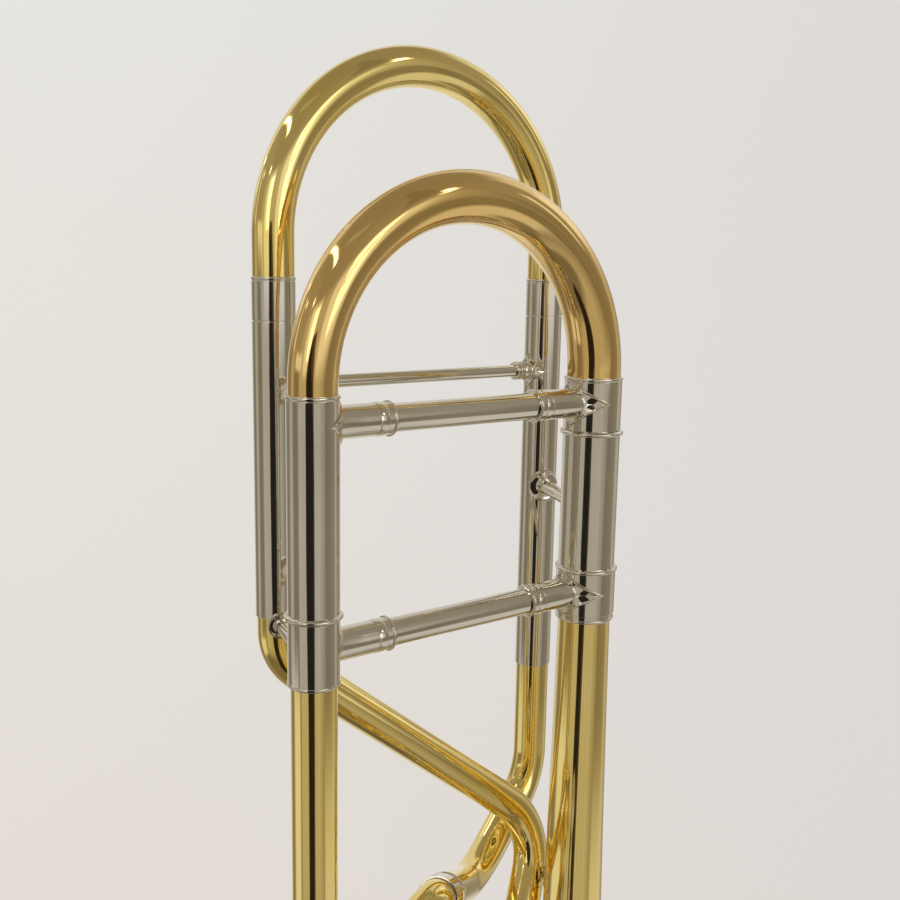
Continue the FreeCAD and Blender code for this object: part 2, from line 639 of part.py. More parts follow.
# The rotor carries two curved passages, each bending a quarter turn between ports.
keep(cut("rotor",
         fuse("rotor_solid",
              rod("rotor_drum", "rotorR", "2 * casingHalf - 2 * rotorEndGap",
                  (VALVE, "rotorEndGap - casingHalf", "valveZ"), "Y"),
              rod("rotor_spindle", "spindleR", "casingHalf * 2 + 16.5",
                  (VALVE, "-casingHalf - 14", "valveZ"), "Y")),
         ring("rotor_passage_left", "rotorR", "neckR - tubeWall",
              (VALVE + " - rotorR * sqrt(2)", 0, "valveZ"), "Y"),
         ring("rotor_passage_right", "rotorR", "neckR - tubeWall",
              (VALVE + " + rotorR * sqrt(2)", 0, "valveZ"), "Y")))
keep(turned("valve_bearing_front",
            [("spindleR + runGap", 0), ("casingR - 0.5", 0), ("casingR - 0.5", "plateThick"),
             ("spindleR + 5", "plateThick"), ("spindleR + 5", "plateThick + 2"),
             ("spindleR + runGap", "plateThick + 2")],
            (VALVE, "-casingHalf", "valveZ"), "-Y"))
keep(turned("valve_bearing_back",
            [("spindleR + runGap", 0), ("rotorR - 1", 0), ("rotorR - 1", 2.6),
             ("spindleR + runGap", 2.6)],
            (VALVE, "casingHalf", "valveZ"), "Y"))
keep(turned("valve_cap",
            [(0, "capDeep"), ("rotorR - 0.5", "capDeep"), ("rotorR - 0.5", 0),
             ("casingR + 0.8", 0), ("casingR + 0.8", "capDeep"), ("casingR - 1", "capDeep + 2.4"),
             (6, "capDeep + 2.4"), (5, "capDeep + 3.6"), (0, "capDeep + 3.6")],
            (VALVE, "casingHalf", "valveZ"), "Y"))

# Stop arm: hub, pin arm towards the lower right, tail towards the upper left.
armY = size["armY"]
armThick = size["armThick"]
armAngle = math.radians(-45)


def aroundValve(angle, reach, y):
    return valve + Vector(math.cos(angle) * reach, y, math.sin(angle) * reach)


south = Vector(0, -1, 0)
armHalf = 13
armBack = Vector(0, armY + armThick, 0)
arm = Part.makeCylinder(7, armThick, valve + armBack, south)
armBar = Part.makeBox(2 * armHalf, armThick, 5, Vector(-armHalf, armY, -2.5))
armBar.rotate(Vector(), Vector(0, 1, 0), 45)
armBar.translate(Vector(valve.x, 0, valve.z))
arm = arm.fuse(armBar)
armPin = aroundValve(armAngle, size["linkReach"], 0)
arm = arm.fuse(Part.makeCylinder(4, armThick, armPin + armBack, south))
arm = arm.fuse(Part.makeCylinder(size["leverPinR"], 7.5, armPin + Vector(0, armY, 0), south))
arm = arm.cut(Part.makeCylinder(size["spindleR"], 20, valve + Vector(0, armY + 10, 0), south))
keep(feature("stop_arm", arm.removeSplitter()))

bumpers = []
for swing in (135 - size["bumperSwing"], 225 + size["bumperSwing"]):
    spot = aroundValve(math.radians(swing), size["bumperReach"], -size["casingHalf"] - size["plateThick"])
    bumpers.append(Part.makeCylinder(3, 9, spot, south))
keep(feature("stop_bumpers", Part.makeCompound(bumpers)))

# ---- thumb lever, its saddle, and the link rod up to the stop arm

leverSwing = math.asin(size["linkReach"] * HALF / size["leverReach"])
pinX = armPin.x
pivot = Vector(pinX - size["leverReach"] * math.cos(leverSwing), 0, size["leverZ"])
pin = Vector(pinX, 0, size["leverZ"] - size["linkReach"] * HALF)
linkY = size["linkY"]


def post(radius, spot, near, far):
    """A round piece along -Y from one y to another."""
    return Part.makeCylinder(radius, near - far, Vector(spot.x, near, spot.z), south)


neckSkin = Part.makeCylinder(size["neckR"], 60, Vector(neck.x, 0, pivot.z - 25))
saddle = Part.makeBox(12, 6, 17, Vector(pivot.x - 7, -11, pivot.z - 8)).cut(neckSkin)
for near, far in ((-11, -14), (-27, -30)):
    saddle = saddle.fuse(post(4.2, pivot, near, far))
    saddle = saddle.fuse(Part.makeBox(8.4, near - far, 9.4,
                                      Vector(pivot.x - 4.2, far, pivot.z - 9.4)))
saddle = saddle.fuse(Part.makeBox(3.5, 19, 3, Vector(pivot.x - 2, -30, pivot.z - 9.4)))
saddle = saddle.cut(post(size["leverPinR"], pivot, -8, -32))
keep(feature("lever_saddle", saddle.removeSplitter()))
pinShape = post(size["leverPinR"], pivot, -11, -31.2).fuse(post(3.2, pivot, -30, -31.2))
keep(feature("lever_pivot_pin", pinShape.removeSplitter()))

coil = Part.makeCompound([
    Part.makeTorus(4.6, 0.4, Vector(pivot.x, y, pivot.z), south) for y in (-15.2, -16.2, -17.2, -18.2)])
keep(feature("lever_spring", coil))

tube = post(3.6, pivot, -14.3, -26.7)
reachArm = Part.makeBox(size["leverReach"], 4, 5, Vector(0, -24, -2.5))
reachArm.rotate(Vector(), Vector(0, 1, 0), math.degrees(leverSwing))
reachArm.translate(pivot)
thumbArm = Part.makeBox(34, 4, 5, Vector(-36, -24, -2.5))
thumbArm.translate(pivot)
pad = Part.makeCylinder(10.5, 2.6, Vector(pivot.x - 44, -22, pivot.z - 1))
pad = pad.makeFillet(1.0, [edge for edge in pad.Edges if edge.Closed])
leverShape = tube.fuse([reachArm, thumbArm, pad, post(4, pin, -20, -24),
                        post(size["leverPinR"], pin, -24, -38)])
leverShape = leverShape.cut(post(size["leverPinR"] + size["runGap"], pivot, -10, -40))
keep(feature("thumb_lever", leverShape.removeSplitter()))

# The rod turns on the stop arm pin. Its lower eye is a slot, because the two pins
# travel on different arcs: the slot is as long as the arcs differ at half travel.
slotR = size["leverPinR"] + 0.6
slotLong = 2.5
upperEye = Vector(pinX, 0, armPin.z)
stem = Part.makeCylinder(1.6, armPin.z - pin.z - 8, Vector(pinX, linkY, pin.z + 4))
lowEye = post(5, pin, linkY + 1.5, linkY - 1.5)
lowEye = lowEye.fuse(post(5, pin - Vector(slotLong, 0, 0), linkY + 1.5, linkY - 1.5))
lowEye = lowEye.fuse(Part.makeBox(slotLong, 3, 10, Vector(pin.x - slotLong, linkY - 1.5, pin.z - 5)))
eyes = lowEye.fuse([post(4.5, upperEye, linkY + 1.5, linkY - 1.5), stem])
slotCut = post(slotR, pin, linkY + 5, linkY - 5)
slotCut = slotCut.fuse(post(slotR, pin - Vector(slotLong, 0, 0), linkY + 5, linkY - 5))
slotCut = slotCut.fuse(Part.makeBox(slotLong, 10, 2 * slotR,
                                    Vector(pin.x - slotLong, linkY - 5, pin.z - slotR)))
eyes = eyes.cut(slotCut)
eyes = eyes.cut(post(size["leverPinR"] + size["runGap"], upperEye, linkY + 5, linkY - 5))
keep(feature("link_rod", eyes.removeSplitter()))

# ---- slide receiver and lock nut

keep(turned("slide_receiver",
            [("neckR", "barrelTopZ + 7"), ("receiverNeckR - 0.7", "barrelTopZ + 7"),
             ("receiverNeckR - 0.7", "nutTopZ + bodyGap"), ("receiverNeckR", "nutTopZ + bodyGap"),
             ("receiverNeckR", "bellBraceZ + 9"), ("receiverNeckR + 0.9", "bellBraceZ + 9.5"),
             ("receiverNeckR + 0.9", "bellBraceZ + 10.8"), ("neckR + 0.6", "bellBraceZ + 11.2"),
             ("neckR", "bellBraceZ + 11.2")],
            (NECK, 0, 0)))
keep(turned("lock_nut",
            [("receiverNeckR - 0.6", "nutLowZ"), ("nutR - 1", "nutLowZ"), ("nutR", "nutLowZ + 1"),
             ("nutR", "nutTopZ - 6"), ("nutR - 2.2", "nutTopZ"), ("receiverNeckR - 0.6", "nutTopZ")],
            (NECK, 0, 0)))

# ---- hand slide, fixed half

MOUTH = "-slideSpan"
COLUMNS = [("0", "neck"), (MOUTH, "mouth")]
keep(group("cork_barrels", *[
    cut("cork_barrel_" + side,
        fuse("cork_barrel_%s_solid" % side,
             rod("cork_barrel_%s_outside" % side, "barrelR", "barrelTopZ - barrelLowZ - 2",
                 (NECK, y, "barrelLowZ")),
             rod("cork_barrel_%s_flange" % side, "receiverNeckR - 0.7", "9.5",
                 (NECK, y, "barrelTopZ - 4")),
             ring("cork_barrel_%s_bead" % side, "barrelR", "beadR", (NECK, y, "barrelTopZ - 4"))),
        rod("cork_barrel_%s_room" % side, "barrelBore", "barrelTopZ - barrelLowZ",
            (NECK, y, "barrelLowZ - 1")),
        rod("cork_barrel_%s_bore" % side, "innerSlideR", "30", (NECK, y, "barrelTopZ - 10")))
    for y, side in COLUMNS]))
keep(group("barrel_corks", *[
    pipe("barrel_cork_" + side, "barrelBore", "innerSlideR", "6.2",
         (NECK, y, "outerSlideTopZ + bodyGap + 0.5")) for y, side in COLUMNS]))
keep(group("inner_slide_tubes", *[
    cut("inner_slide_tube_" + side,
        fuse("inner_slide_tube_%s_solid" % side,
             rod("inner_slide_tube_%s_outside" % side, "innerSlideR",
                 "barrelTopZ - innerSlideLowZ", (NECK, y, "innerSlideLowZ")),
             rod("inner_slide_stocking_" + side, "stockingR", "stockingLong",
                 (NECK, y, "innerSlideLowZ"))),
        rod("inner_slide_tube_%s_bore" % side, "innerSlideR - tubeWall",
            "barrelTopZ - innerSlideLowZ + 4", (NECK, y, "innerSlideLowZ - 2")))
    for y, side in COLUMNS]))


def grip(name, z, sleeveLong, bore):
    """A grip tube across the two slide columns, with a sleeve on each."""
    pieces = [rod(name + "_bar", "gripR", "slideSpan", (NECK, MOUTH, z), "Y")]
    bores = []
    for y, side in COLUMNS:
        inward = "+" if side == "mouth" else "-"
        pieces.append(rod("%s_sleeve_%s" % (name, side), bore + " + gripWall", sleeveLong,
                          (NECK, y, "%s - %s / 2" % (z, sleeveLong))))
        pieces.append(ring("%s_bead_%s" % (name, side), "gripR", "beadR",
                           (NECK, "%s %s (%s + gripWall + 9)" % (y, inward, bore), z), "Y"))
        bores.append(rod("%s_bore_%s" % (name, side), bore, "3 * " + sleeveLong,
                         (NECK, y, "%s - 1.5 * %s" % (z, sleeveLong))))
    keep(cut(name, fuse(name + "_solid", *pieces), *bores))


grip("fixed_grip", "innerBraceZ", "fixedGripLong", "barrelR")
grip("moving_grip", "outerBraceZ", "movingGripLong", "outerSlideR")

keep(turned("slide_lock_ring",
            [("barrelR + 0.1", 0), ("barrelR + 3", 0), ("barrelR + 3.4", 1), ("barrelR + 3.4", 6),
             ("barrelR + 3", 7), ("barrelR + 0.1", 7)],
            (NECK, MOUTH, "barrelLowZ + 2")))
keep(cut("mouthpiece_receiver",
         fuse("mouthpiece_receiver_solid",
              rod("mouthpiece_receiver_outside", "receiverNeckR - 0.9", "34",
                  (NECK, MOUTH, "barrelTopZ + 5.5")),
              rod("mouthpiece_receiver_lip", "receiverNeckR + 0.4", "4",
                  (NECK, MOUTH, "barrelTopZ + 35.5"))),
         cone("mouthpiece_receiver_bore", "5.9", "6.75", "36", (NECK, MOUTH, "barrelTopZ + 4.5"))))
keep(pipe("leadpipe", "innerSlideR - tubeWall - 0.05", "innerSlideR - tubeWall - 0.55",
          "leadpipeLong", (NECK, MOUTH, "barrelTopZ - leadpipeLong")))
keep(turned("mouthpiece",
            [("4.6", "barrelTopZ + 14"), ("6.02", "barrelTopZ + 14"), ("6.6", "barrelTopZ + 39.5"),
             ("7.4", "barrelTopZ + 44"), ("7.8", "barrelTopZ + 52"), ("10.5", "cupTopZ - 27"),
             ("16.4", "cupTopZ - 15"), ("18.2", "cupTopZ - 4"), ("18.8", "cupTopZ - 1.6"),
             ("17.2", "cupTopZ"), ("15.2", "cupTopZ"), ("13", "cupTopZ - 2.4"),
             ("11.2", "cupTopZ - 12"), ("6.4", "cupTopZ - 20"), ("3.4", "cupTopZ - 25"),
             ("3.4", "cupTopZ - 28")],
            (NECK, MOUTH, 0)))

# ---- hand slide, moving half

keep(group("outer_slide_tubes", *[
    pipe("outer_slide_tube_" + side, "outerSlideR", "stockingR + runGap",
         "outerSlideTopZ - bowZ - bowSeat", (NECK, y, "bowZ + bowSeat")) for y, side in COLUMNS]))
keep(group("bow_ferrules", *[
    cut("bow_ferrule_" + side,
        rod("bow_ferrule_%s_outside" % side, "bowR + 0.5", "30", (NECK, y, "bowZ")),
        rod("bow_ferrule_%s_seat" % side, "bowR", "20", (NECK, y, "bowZ - 8")),
        rod("bow_ferrule_%s_bore" % side, "outerSlideR", "30", (NECK, y, "bowZ + bowSeat")))
    for y, side in COLUMNS]))

bowMiddle = Vector(neck.x, -size["slideSpan"] / 2, size["bowZ"])
bowHalf = size["slideSpan"] / 2


def bowShape(radius):
    arc = Part.Arc(bowMiddle + Vector(0, bowHalf, 0), bowMiddle - Vector(0, 0, bowHalf),
                   bowMiddle - Vector(0, bowHalf, 0)).toShape()
    circle = Part.Wire([Part.Circle(bowMiddle + Vector(0, bowHalf, 0), Vector(0, 0, 1),
                                    radius).toShape()])
    shape = Part.Wire([arc]).makePipeShell([circle], True, False)
    for y in (0, -size["slideSpan"]):
        shape = shape.fuse(Part.makeCylinder(radius, size["bowSeat"], Vector(neck.x, y, size["bowZ"])))
    return shape


def aroundBow(degrees, reach):
    """A point in the bow's plane, by angle from +Y and distance from its middle."""
    angle = math.radians(degrees)
    return bowMiddle + Vector(0, math.cos(angle), math.sin(angle)) * reach


bowSolid = bowShape(size["bowR"])
keyAngle = size["keyAngle"]
pivotAngle = size["keyPivotAngle"]
keyOut = (aroundBow(keyAngle, 1) - bowMiddle)
bowHollow = bowShape(size["bowR"] - size["tubeWall"]).fuse(
    Part.makeCylinder(2.2, 12, aroundBow(keyAngle, bowHalf), keyOut))
keep(feature("slide_bow", bowSolid.cut(bowHollow)))
keep(feature("slide_bumper", Part.makeCylinder(5.5, 9, bowMiddle - Vector(0, 0, bowHalf + 5),
                                               Vector(0, 0, -1)).cut(bowSolid)))

# Water key: nipple and saddle on the bow, key and cork swinging on the saddle's pin.
keyPivot = aroundBow(pivotAngle, bowHalf + 15.5)
keySeat = aroundBow(keyAngle, bowHalf + size["bowR"] + 2.2)
nipple = Part.makeCylinder(3.6, 8, aroundBow(keyAngle, bowHalf + size["bowR"] - 5.8), keyOut)
nipple = nipple.cut(Part.makeCylinder(2.2, 30, aroundBow(keyAngle, bowHalf), keyOut)).cut(bowSolid)


def across(radius, spot, half):
    """A round piece along X, the same both sides of the bow's plane."""
    return Part.makeCylinder(radius, 2 * half, spot - Vector(half, 0, 0), Vector(1, 0, 0))


ears = []
for x in (-6.0, 4.0):
    ear = Part.makeCylinder(3, 2, keyPivot + Vector(x, 0, 0), Vector(1, 0, 0))
    leg = Part.makeBox(2, 6, 11, Vector(keyPivot.x + x, -3, -11))
    leg.rotate(Vector(keyPivot.x, 0, 0), Vector(1, 0, 0), pivotAngle - 90)
    leg.translate(Vector(0, keyPivot.y, keyPivot.z))
    ears.append(ear.fuse(leg))
saddleFoot = across(5, aroundBow(pivotAngle, bowHalf + size["bowR"] - 3.4), 6)
saddleFoot = saddleFoot.cut(across(7, keyPivot, 8))
keySaddle = ears[0].fuse([ears[1], saddleFoot]).cut(bowSolid).cut(across(1.5, keyPivot, 10))
keep(feature("key_saddle", Part.makeCompound(
    [max(keySaddle.Solids, key=lambda solid: solid.Volume), nipple])))
keep(feature("key_pin", across(1.5, keyPivot, 7)))

beyond = aroundBow(keyAngle, bowHalf + size["bowR"] + 7.2)
fingers = keyPivot + Vector(0, -6, 44)


def bar(start, end, width, thick):
    """A flat bar in the bow's plane between two points."""
    along = end - start
    shape = Part.makeBox(width, thick, along.Length, Vector(-width / 2, -thick / 2, 0))
    shape.rotate(Vector(), Vector(1, 0, 0), -math.degrees(math.atan2(along.y, along.z)))
    shape.translate(start)
    return shape


elbow = aroundBow(pivotAngle + 20, bowHalf + 19.5)
nearElbow = aroundBow(pivotAngle + 19, bowHalf + 19.5)
keyWide = 5
keyThick = 2.6
keyShape = across(3, keyPivot, 3.7).fuse([
    bar(keyPivot, elbow, keyWide, keyThick),
    bar(nearElbow, beyond, keyWide, keyThick),
    bar(keyPivot, fingers, keyWide, keyThick),
    Part.makeCylinder(5.2, 2.4, beyond - keyOut * 1.2, keyOut),
    across(4, fingers, 5),
]).cut(across(1.5 + size["runGap"], keyPivot, 12))
keep(feature("water_key", keyShape.removeSplitter()))
keep(feature("key_cork", Part.makeCylinder(4.4, 3.4, keySeat + keyOut * 0.3, keyOut).cut(
    keyShape)))

# ---- check every object, then write one file for each sub-part

doc.recompute()
failed = [obj.Label for obj in doc.Objects if {"Invalid", "Error"} & set(obj.State)]
for label, obj in parts.items():
    if obj.Shape.isNull() or not obj.Shape.isValid() or not obj.Shape.Solids:
        failed.append(label)
if failed:
    raise SystemExit("not written, failed: " + ", ".join(failed))
os.makedirs("parts", exist_ok=True)
for label, obj in parts.items():
    obj.Shape.exportStep("parts/%s.step" % label)
print(len(parts), "sub-parts written")
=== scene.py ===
# Tenor trombone with an F attachment: lacquered brass tubing and polished nickel silver fittings.
import math
import bmesh
import bpy
import numpy as np
from mathutils import Matrix, Vector


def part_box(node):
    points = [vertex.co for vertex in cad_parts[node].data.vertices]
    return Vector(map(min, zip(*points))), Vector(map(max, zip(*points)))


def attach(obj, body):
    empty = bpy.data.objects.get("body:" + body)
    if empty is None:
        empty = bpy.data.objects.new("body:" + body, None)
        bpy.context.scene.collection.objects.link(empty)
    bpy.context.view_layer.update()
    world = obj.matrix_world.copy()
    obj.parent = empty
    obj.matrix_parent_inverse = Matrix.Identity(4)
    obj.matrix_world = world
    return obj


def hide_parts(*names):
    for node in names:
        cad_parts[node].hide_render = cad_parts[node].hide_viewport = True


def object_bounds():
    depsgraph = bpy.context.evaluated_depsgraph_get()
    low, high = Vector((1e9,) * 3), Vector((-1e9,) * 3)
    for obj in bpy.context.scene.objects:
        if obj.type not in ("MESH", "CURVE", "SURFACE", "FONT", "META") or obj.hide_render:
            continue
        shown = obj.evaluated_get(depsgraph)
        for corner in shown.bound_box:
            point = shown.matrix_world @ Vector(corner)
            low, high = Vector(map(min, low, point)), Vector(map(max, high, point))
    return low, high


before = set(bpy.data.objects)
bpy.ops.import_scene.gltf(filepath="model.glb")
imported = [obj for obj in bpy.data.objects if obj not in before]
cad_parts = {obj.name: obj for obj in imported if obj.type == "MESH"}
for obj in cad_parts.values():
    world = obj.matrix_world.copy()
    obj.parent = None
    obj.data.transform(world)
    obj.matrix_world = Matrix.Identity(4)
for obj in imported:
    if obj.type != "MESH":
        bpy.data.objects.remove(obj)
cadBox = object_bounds()
mm = 0.001
east, north, up = Vector((1, 0, 0)), Vector((0, 1, 0)), Vector((0, 0, 1))
print("frame loaded:", len(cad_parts), "nodes")


# --- small helpers for node trees

def nodeMaker(tree):
    def make(kind, inputs=None, **settings):
        node = tree.nodes.new(kind)
        for key, value in settings.items():
            setattr(node, key, value)
        for key, value in (inputs or {}).items():
            if isinstance(value, bpy.types.NodeSocket):
                tree.links.new(value, node.inputs[key])
            else:
                node.inputs[key].default_value = value
        return node
    return make


def newGroup(name, kind, inputs, outputs):
    group = bpy.data.node_groups.new(name, kind)
    for label, socketKind, value in inputs:
        socket = group.interface.new_socket(label, in_out="INPUT", socket_type=socketKind)
        if value is not None:
            socket.default_value = value
    for label, socketKind in outputs:
        group.interface.new_socket(label, in_out="OUTPUT", socket_type=socketKind)
    return group, group.nodes.new("NodeGroupInput"), group.nodes.new("NodeGroupOutput")


def fill(tree, node, **sources):
    for label, source in sources.items():
        tree.links.new(source, node.inputs[label])


# --- effects shared by the finishes

def polishMarksGroup():
    # fine buffing lines along or around a tube, and a soft handling haze
    group, given, result = newGroup(
        "polishMarks", "ShaderNodeTree",
        [("Grain", "NodeSocketVector", None), ("Place", "NodeSocketVector", None),
         ("Stretch", "NodeSocketVector", (40, 40, 4)), ("Roughness", "NodeSocketFloat", 0.08),
         ("Line Spread", "NodeSocketFloat", 0.02), ("Haze", "NodeSocketFloat", 0.03),
         ("Haze Scale", "NodeSocketFloat", 28.0)],
        [("Roughness", "NodeSocketFloat"), ("Height", "NodeSocketFloat")])
    make = nodeMaker(group)
    stretched = make("ShaderNodeVectorMath", {0: given.outputs["Grain"], 1: given.outputs["Stretch"]},
                     operation="MULTIPLY")
    lines = make("ShaderNodeTexNoise", {"Vector": stretched.outputs[0], "Scale": 1.0, "Detail": 4.0,
                                        "Roughness": 0.65})
    cloud = make("ShaderNodeTexNoise", {"Vector": given.outputs["Place"],
                                        "Scale": given.outputs["Haze Scale"], "Detail": 5.0,
                                        "Roughness": 0.55, "Distortion": 0.6})
    patch = make("ShaderNodeMapRange", {"Value": cloud.outputs["Fac"], "From Min": 0.45,
                                        "From Max": 0.75})
    hazy = make("ShaderNodeMath", {0: patch.outputs[0], 1: given.outputs["Haze"],
                                   2: given.outputs["Roughness"]}, operation="MULTIPLY_ADD")
    spread = make("ShaderNodeMath", {0: lines.outputs["Fac"], 1: given.outputs["Line Spread"],
                                     2: hazy.outputs[0]}, operation="MULTIPLY_ADD")
    fill(group, result, Roughness=spread.outputs[0], Height=lines.outputs["Fac"])
    return group


def metalToneGroup():
    # slow drift between two tones of the same metal, with a few dull specks
    group, given, result = newGroup(
        "metalTone", "ShaderNodeTree",
        [("Place", "NodeSocketVector", None), ("Bright", "NodeSocketColor", (1, 1, 1, 1)),
         ("Deep", "NodeSocketColor", (0.5, 0.5, 0.5, 1)), ("Patch Scale", "NodeSocketFloat", 14.0),
         ("Speck Scale", "NodeSocketFloat", 420.0), ("Speck Depth", "NodeSocketFloat", 0.25)],
        [("Color", "NodeSocketColor"), ("Specks", "NodeSocketFloat")])
    make = nodeMaker(group)
    drift = make("ShaderNodeTexNoise", {"Vector": given.outputs["Place"],
                                        "Scale": given.outputs["Patch Scale"], "Detail": 6.0,
                                        "Roughness": 0.6, "Distortion": 0.4})
    share = make("ShaderNodeMapRange", {"Value": drift.outputs["Fac"], "From Min": 0.32,
                                        "From Max": 0.72})
    tone = make("ShaderNodeMix", {"Factor": share.outputs[0], "A": given.outputs["Bright"],
                                  "B": given.outputs["Deep"]}, data_type="RGBA")
    cells = make("ShaderNodeTexVoronoi", {"Vector": given.outputs["Place"],
                                          "Scale": given.outputs["Speck Scale"]})
    dots = make("ShaderNodeMapRange", {"Value": cells.outputs["Distance"], "From Min": 0.05,
                                       "From Max": 0.13, "To Min": 1.0, "To Max": 0.0})
    rare = make("ShaderNodeSeparateColor", {"Color": cells.outputs["Color"]})
    few = make("ShaderNodeMath", {0: rare.outputs[0], 1: 0.93}, operation="GREATER_THAN")
    specks = make("ShaderNodeMath", {0: dots.outputs[0], 1: few.outputs[0]}, operation="MULTIPLY")
    depth = make("ShaderNodeMath", {0: specks.outputs[0], 1: given.outputs["Speck Depth"]},
                 operation="MULTIPLY")
    spotted = make("ShaderNodeMix", {"Factor": depth.outputs[0], "A": tone.outputs["Result"],
                                     "B": (0.12, 0.07, 0.03, 1)}, data_type="RGBA")
    fill(group, result, Color=spotted.outputs["Result"], Specks=specks.outputs[0])
    return group


def softGrainGroup():
    # grain of cork and rubber: cells of two tones with a raised surface
    group, given, result = newGroup(
        "softGrain", "ShaderNodeTree",
        [("Place", "NodeSocketVector", None), ("Light", "NodeSocketColor", (0.6, 0.4, 0.25, 1)),
         ("Dark", "NodeSocketColor", (0.2, 0.1, 0.05, 1)), ("Cell Scale", "NodeSocketFloat", 900.0)],
        [("Color", "NodeSocketColor"), ("Height", "NodeSocketFloat"), ("Roughness", "NodeSocketFloat")])
    make = nodeMaker(group)
    cells = make("ShaderNodeTexVoronoi", {"Vector": given.outputs["Place"],
                                          "Scale": given.outputs["Cell Scale"]})
    grit = make("ShaderNodeTexNoise", {"Vector": given.outputs["Place"],
                                       "Scale": given.outputs["Cell Scale"], "Detail": 5.0})
    blend = make("ShaderNodeMath", {0: cells.outputs["Distance"], 1: grit.outputs["Fac"]},
                 operation="MULTIPLY")
    share = make("ShaderNodeMapRange", {"Value": blend.outputs[0], "From Min": 0.08,
                                        "From Max": 0.4})
    tone = make("ShaderNodeMix", {"Factor": share.outputs[0], "A": given.outputs["Dark"],
                                  "B": given.outputs["Light"]}, data_type="RGBA")
    rough = make("ShaderNodeMapRange", {"Value": grit.outputs["Fac"], "To Min": 0.55, "To Max": 0.9})
    fill(group, result, Color=tone.outputs["Result"], Height=blend.outputs[0],
         Roughness=rough.outputs[0])
    return group


polishMarks, metalTone, softGrain = polishMarksGroup(), metalToneGroup(), softGrainGroup()

# Tones, gloss and buffing of each metal finish. "run" lines go along a tube, "spun" ones round it,
# and "cast" pieces are read in their own place.
metals = {
    "yellowBrass": {"bright": (0.96, 0.78, 0.32), "deep": (0.91, 0.70, 0.22), "gloss": 0.045,
                    "haze": 0.03, "coat": 0.3, "specks": 0.2},
    "roseBrass": {"bright": (0.93, 0.68, 0.29), "deep": (0.86, 0.58, 0.20), "gloss": 0.04,
                  "haze": 0.03, "coat": 0.3, "specks": 0.2},
    "nickelSilver": {"bright": (0.78, 0.74, 0.645), "deep": (0.68, 0.64, 0.545), "gloss": 0.03,
                     "haze": 0.035, "coat": 0.0, "specks": 0.15},
    "platedTube": {"bright": (0.72, 0.73, 0.74), "deep": (0.62, 0.63, 0.65), "gloss": 0.07,
                   "haze": 0.06, "coat": 0.0, "specks": 0.1},
    "silverPlate": {"bright": (0.90, 0.88, 0.84), "deep": (0.82, 0.79, 0.73), "gloss": 0.05,
                    "haze": 0.03, "coat": 0.0, "specks": 0.1},
    "springSteel": {"bright": (0.55, 0.54, 0.53), "deep": (0.40, 0.39, 0.38), "gloss": 0.2,
                    "haze": 0.12, "coat": 0.0, "specks": 0.3},
}
buffing = {
    "run": {"stretch": (26, 26, 14), "spread": 0.03, "bump": 0.012},
    "spun": {"stretch": (2.2, 2.2, 2600), "spread": 0.03, "bump": 0.014},
    "cast": {"stretch": (420, 420, 420), "spread": 0.05, "bump": 0.02},
}


def metalFinish(metal, marks):
    look, lay = metals[metal], buffing[marks]
    material = bpy.data.materials.new(metal + marks.capitalize())
    material.use_nodes = True
    tree = material.node_tree
    make = nodeMaker(tree)
    shader = tree.nodes["Principled BSDF"]
    place = make("ShaderNodeTexCoord").outputs["Object"]
    grain = place
    if marks != "cast":
        grain = make("ShaderNodeAttribute", attribute_name="grain").outputs["Vector"]
    tone = make("ShaderNodeGroup", node_tree=metalTone)
    tone.inputs["Bright"].default_value = (*look["bright"], 1)
    tone.inputs["Deep"].default_value = (*look["deep"], 1)
    tone.inputs["Speck Depth"].default_value = look["specks"]
    marksNode = make("ShaderNodeGroup", node_tree=polishMarks)
    marksNode.inputs["Stretch"].default_value = lay["stretch"]
    marksNode.inputs["Roughness"].default_value = look["gloss"]
    marksNode.inputs["Line Spread"].default_value = lay["spread"]
    marksNode.inputs["Haze"].default_value = look["haze"]
    fill(tree, tone, Place=place)
    fill(tree, marksNode, Place=place, Grain=grain)
    bump = make("ShaderNodeBump", {"Height": marksNode.outputs["Height"], "Strength": lay["bump"],
                                   "Distance": 0.001})
    fill(tree, shader, **{"Base Color": tone.outputs["Color"], "Normal": bump.outputs[0],
                          "Roughness": marksNode.outputs["Roughness"]})
    shader.inputs["Metallic"].default_value = 1.0
    shader.inputs["Coat Weight"].default_value = look["coat"]
    shader.inputs["Coat Roughness"].default_value = 0.03
    return material


def softFinish(name, light, dark, cellScale, bumpStrength):
    material = bpy.data.materials.new(name)
    material.use_nodes = True
    tree = material.node_tree
    make = nodeMaker(tree)
    grain = make("ShaderNodeGroup", {"Place": make("ShaderNodeTexCoord").outputs["Object"]},
                 node_tree=softGrain)
    grain.inputs["Light"].default_value = (*light, 1)
    grain.inputs["Dark"].default_value = (*dark, 1)
    grain.inputs["Cell Scale"].default_value = cellScale
    bump = make("ShaderNodeBump", {"Height": grain.outputs["Height"], "Strength": bumpStrength,
                                   "Distance": 0.0004})
    fill(tree, tree.nodes["Principled BSDF"],
         **{"Base Color": grain.outputs["Color"], "Roughness": grain.outputs["Roughness"],
            "Normal": bump.outputs[0]})
    return material


finishes = {(metal, marks): metalFinish(metal, marks) for metal in metals for marks in buffing}
finishes["rubber", "cast"] = softFinish("blackRubber", (0.035, 0.034, 0.033), (0.012, 0.012, 0.012),
                                        1600, 0.3)
finishes["cork", "cast"] = softFinish("corkGrain", (0.60, 0.40, 0.22), (0.22, 0.12, 0.06), 1100, 0.7)
print("finishes made:", len(finishes))


# --- shells: points, faces and the grain direction of every piece of metal

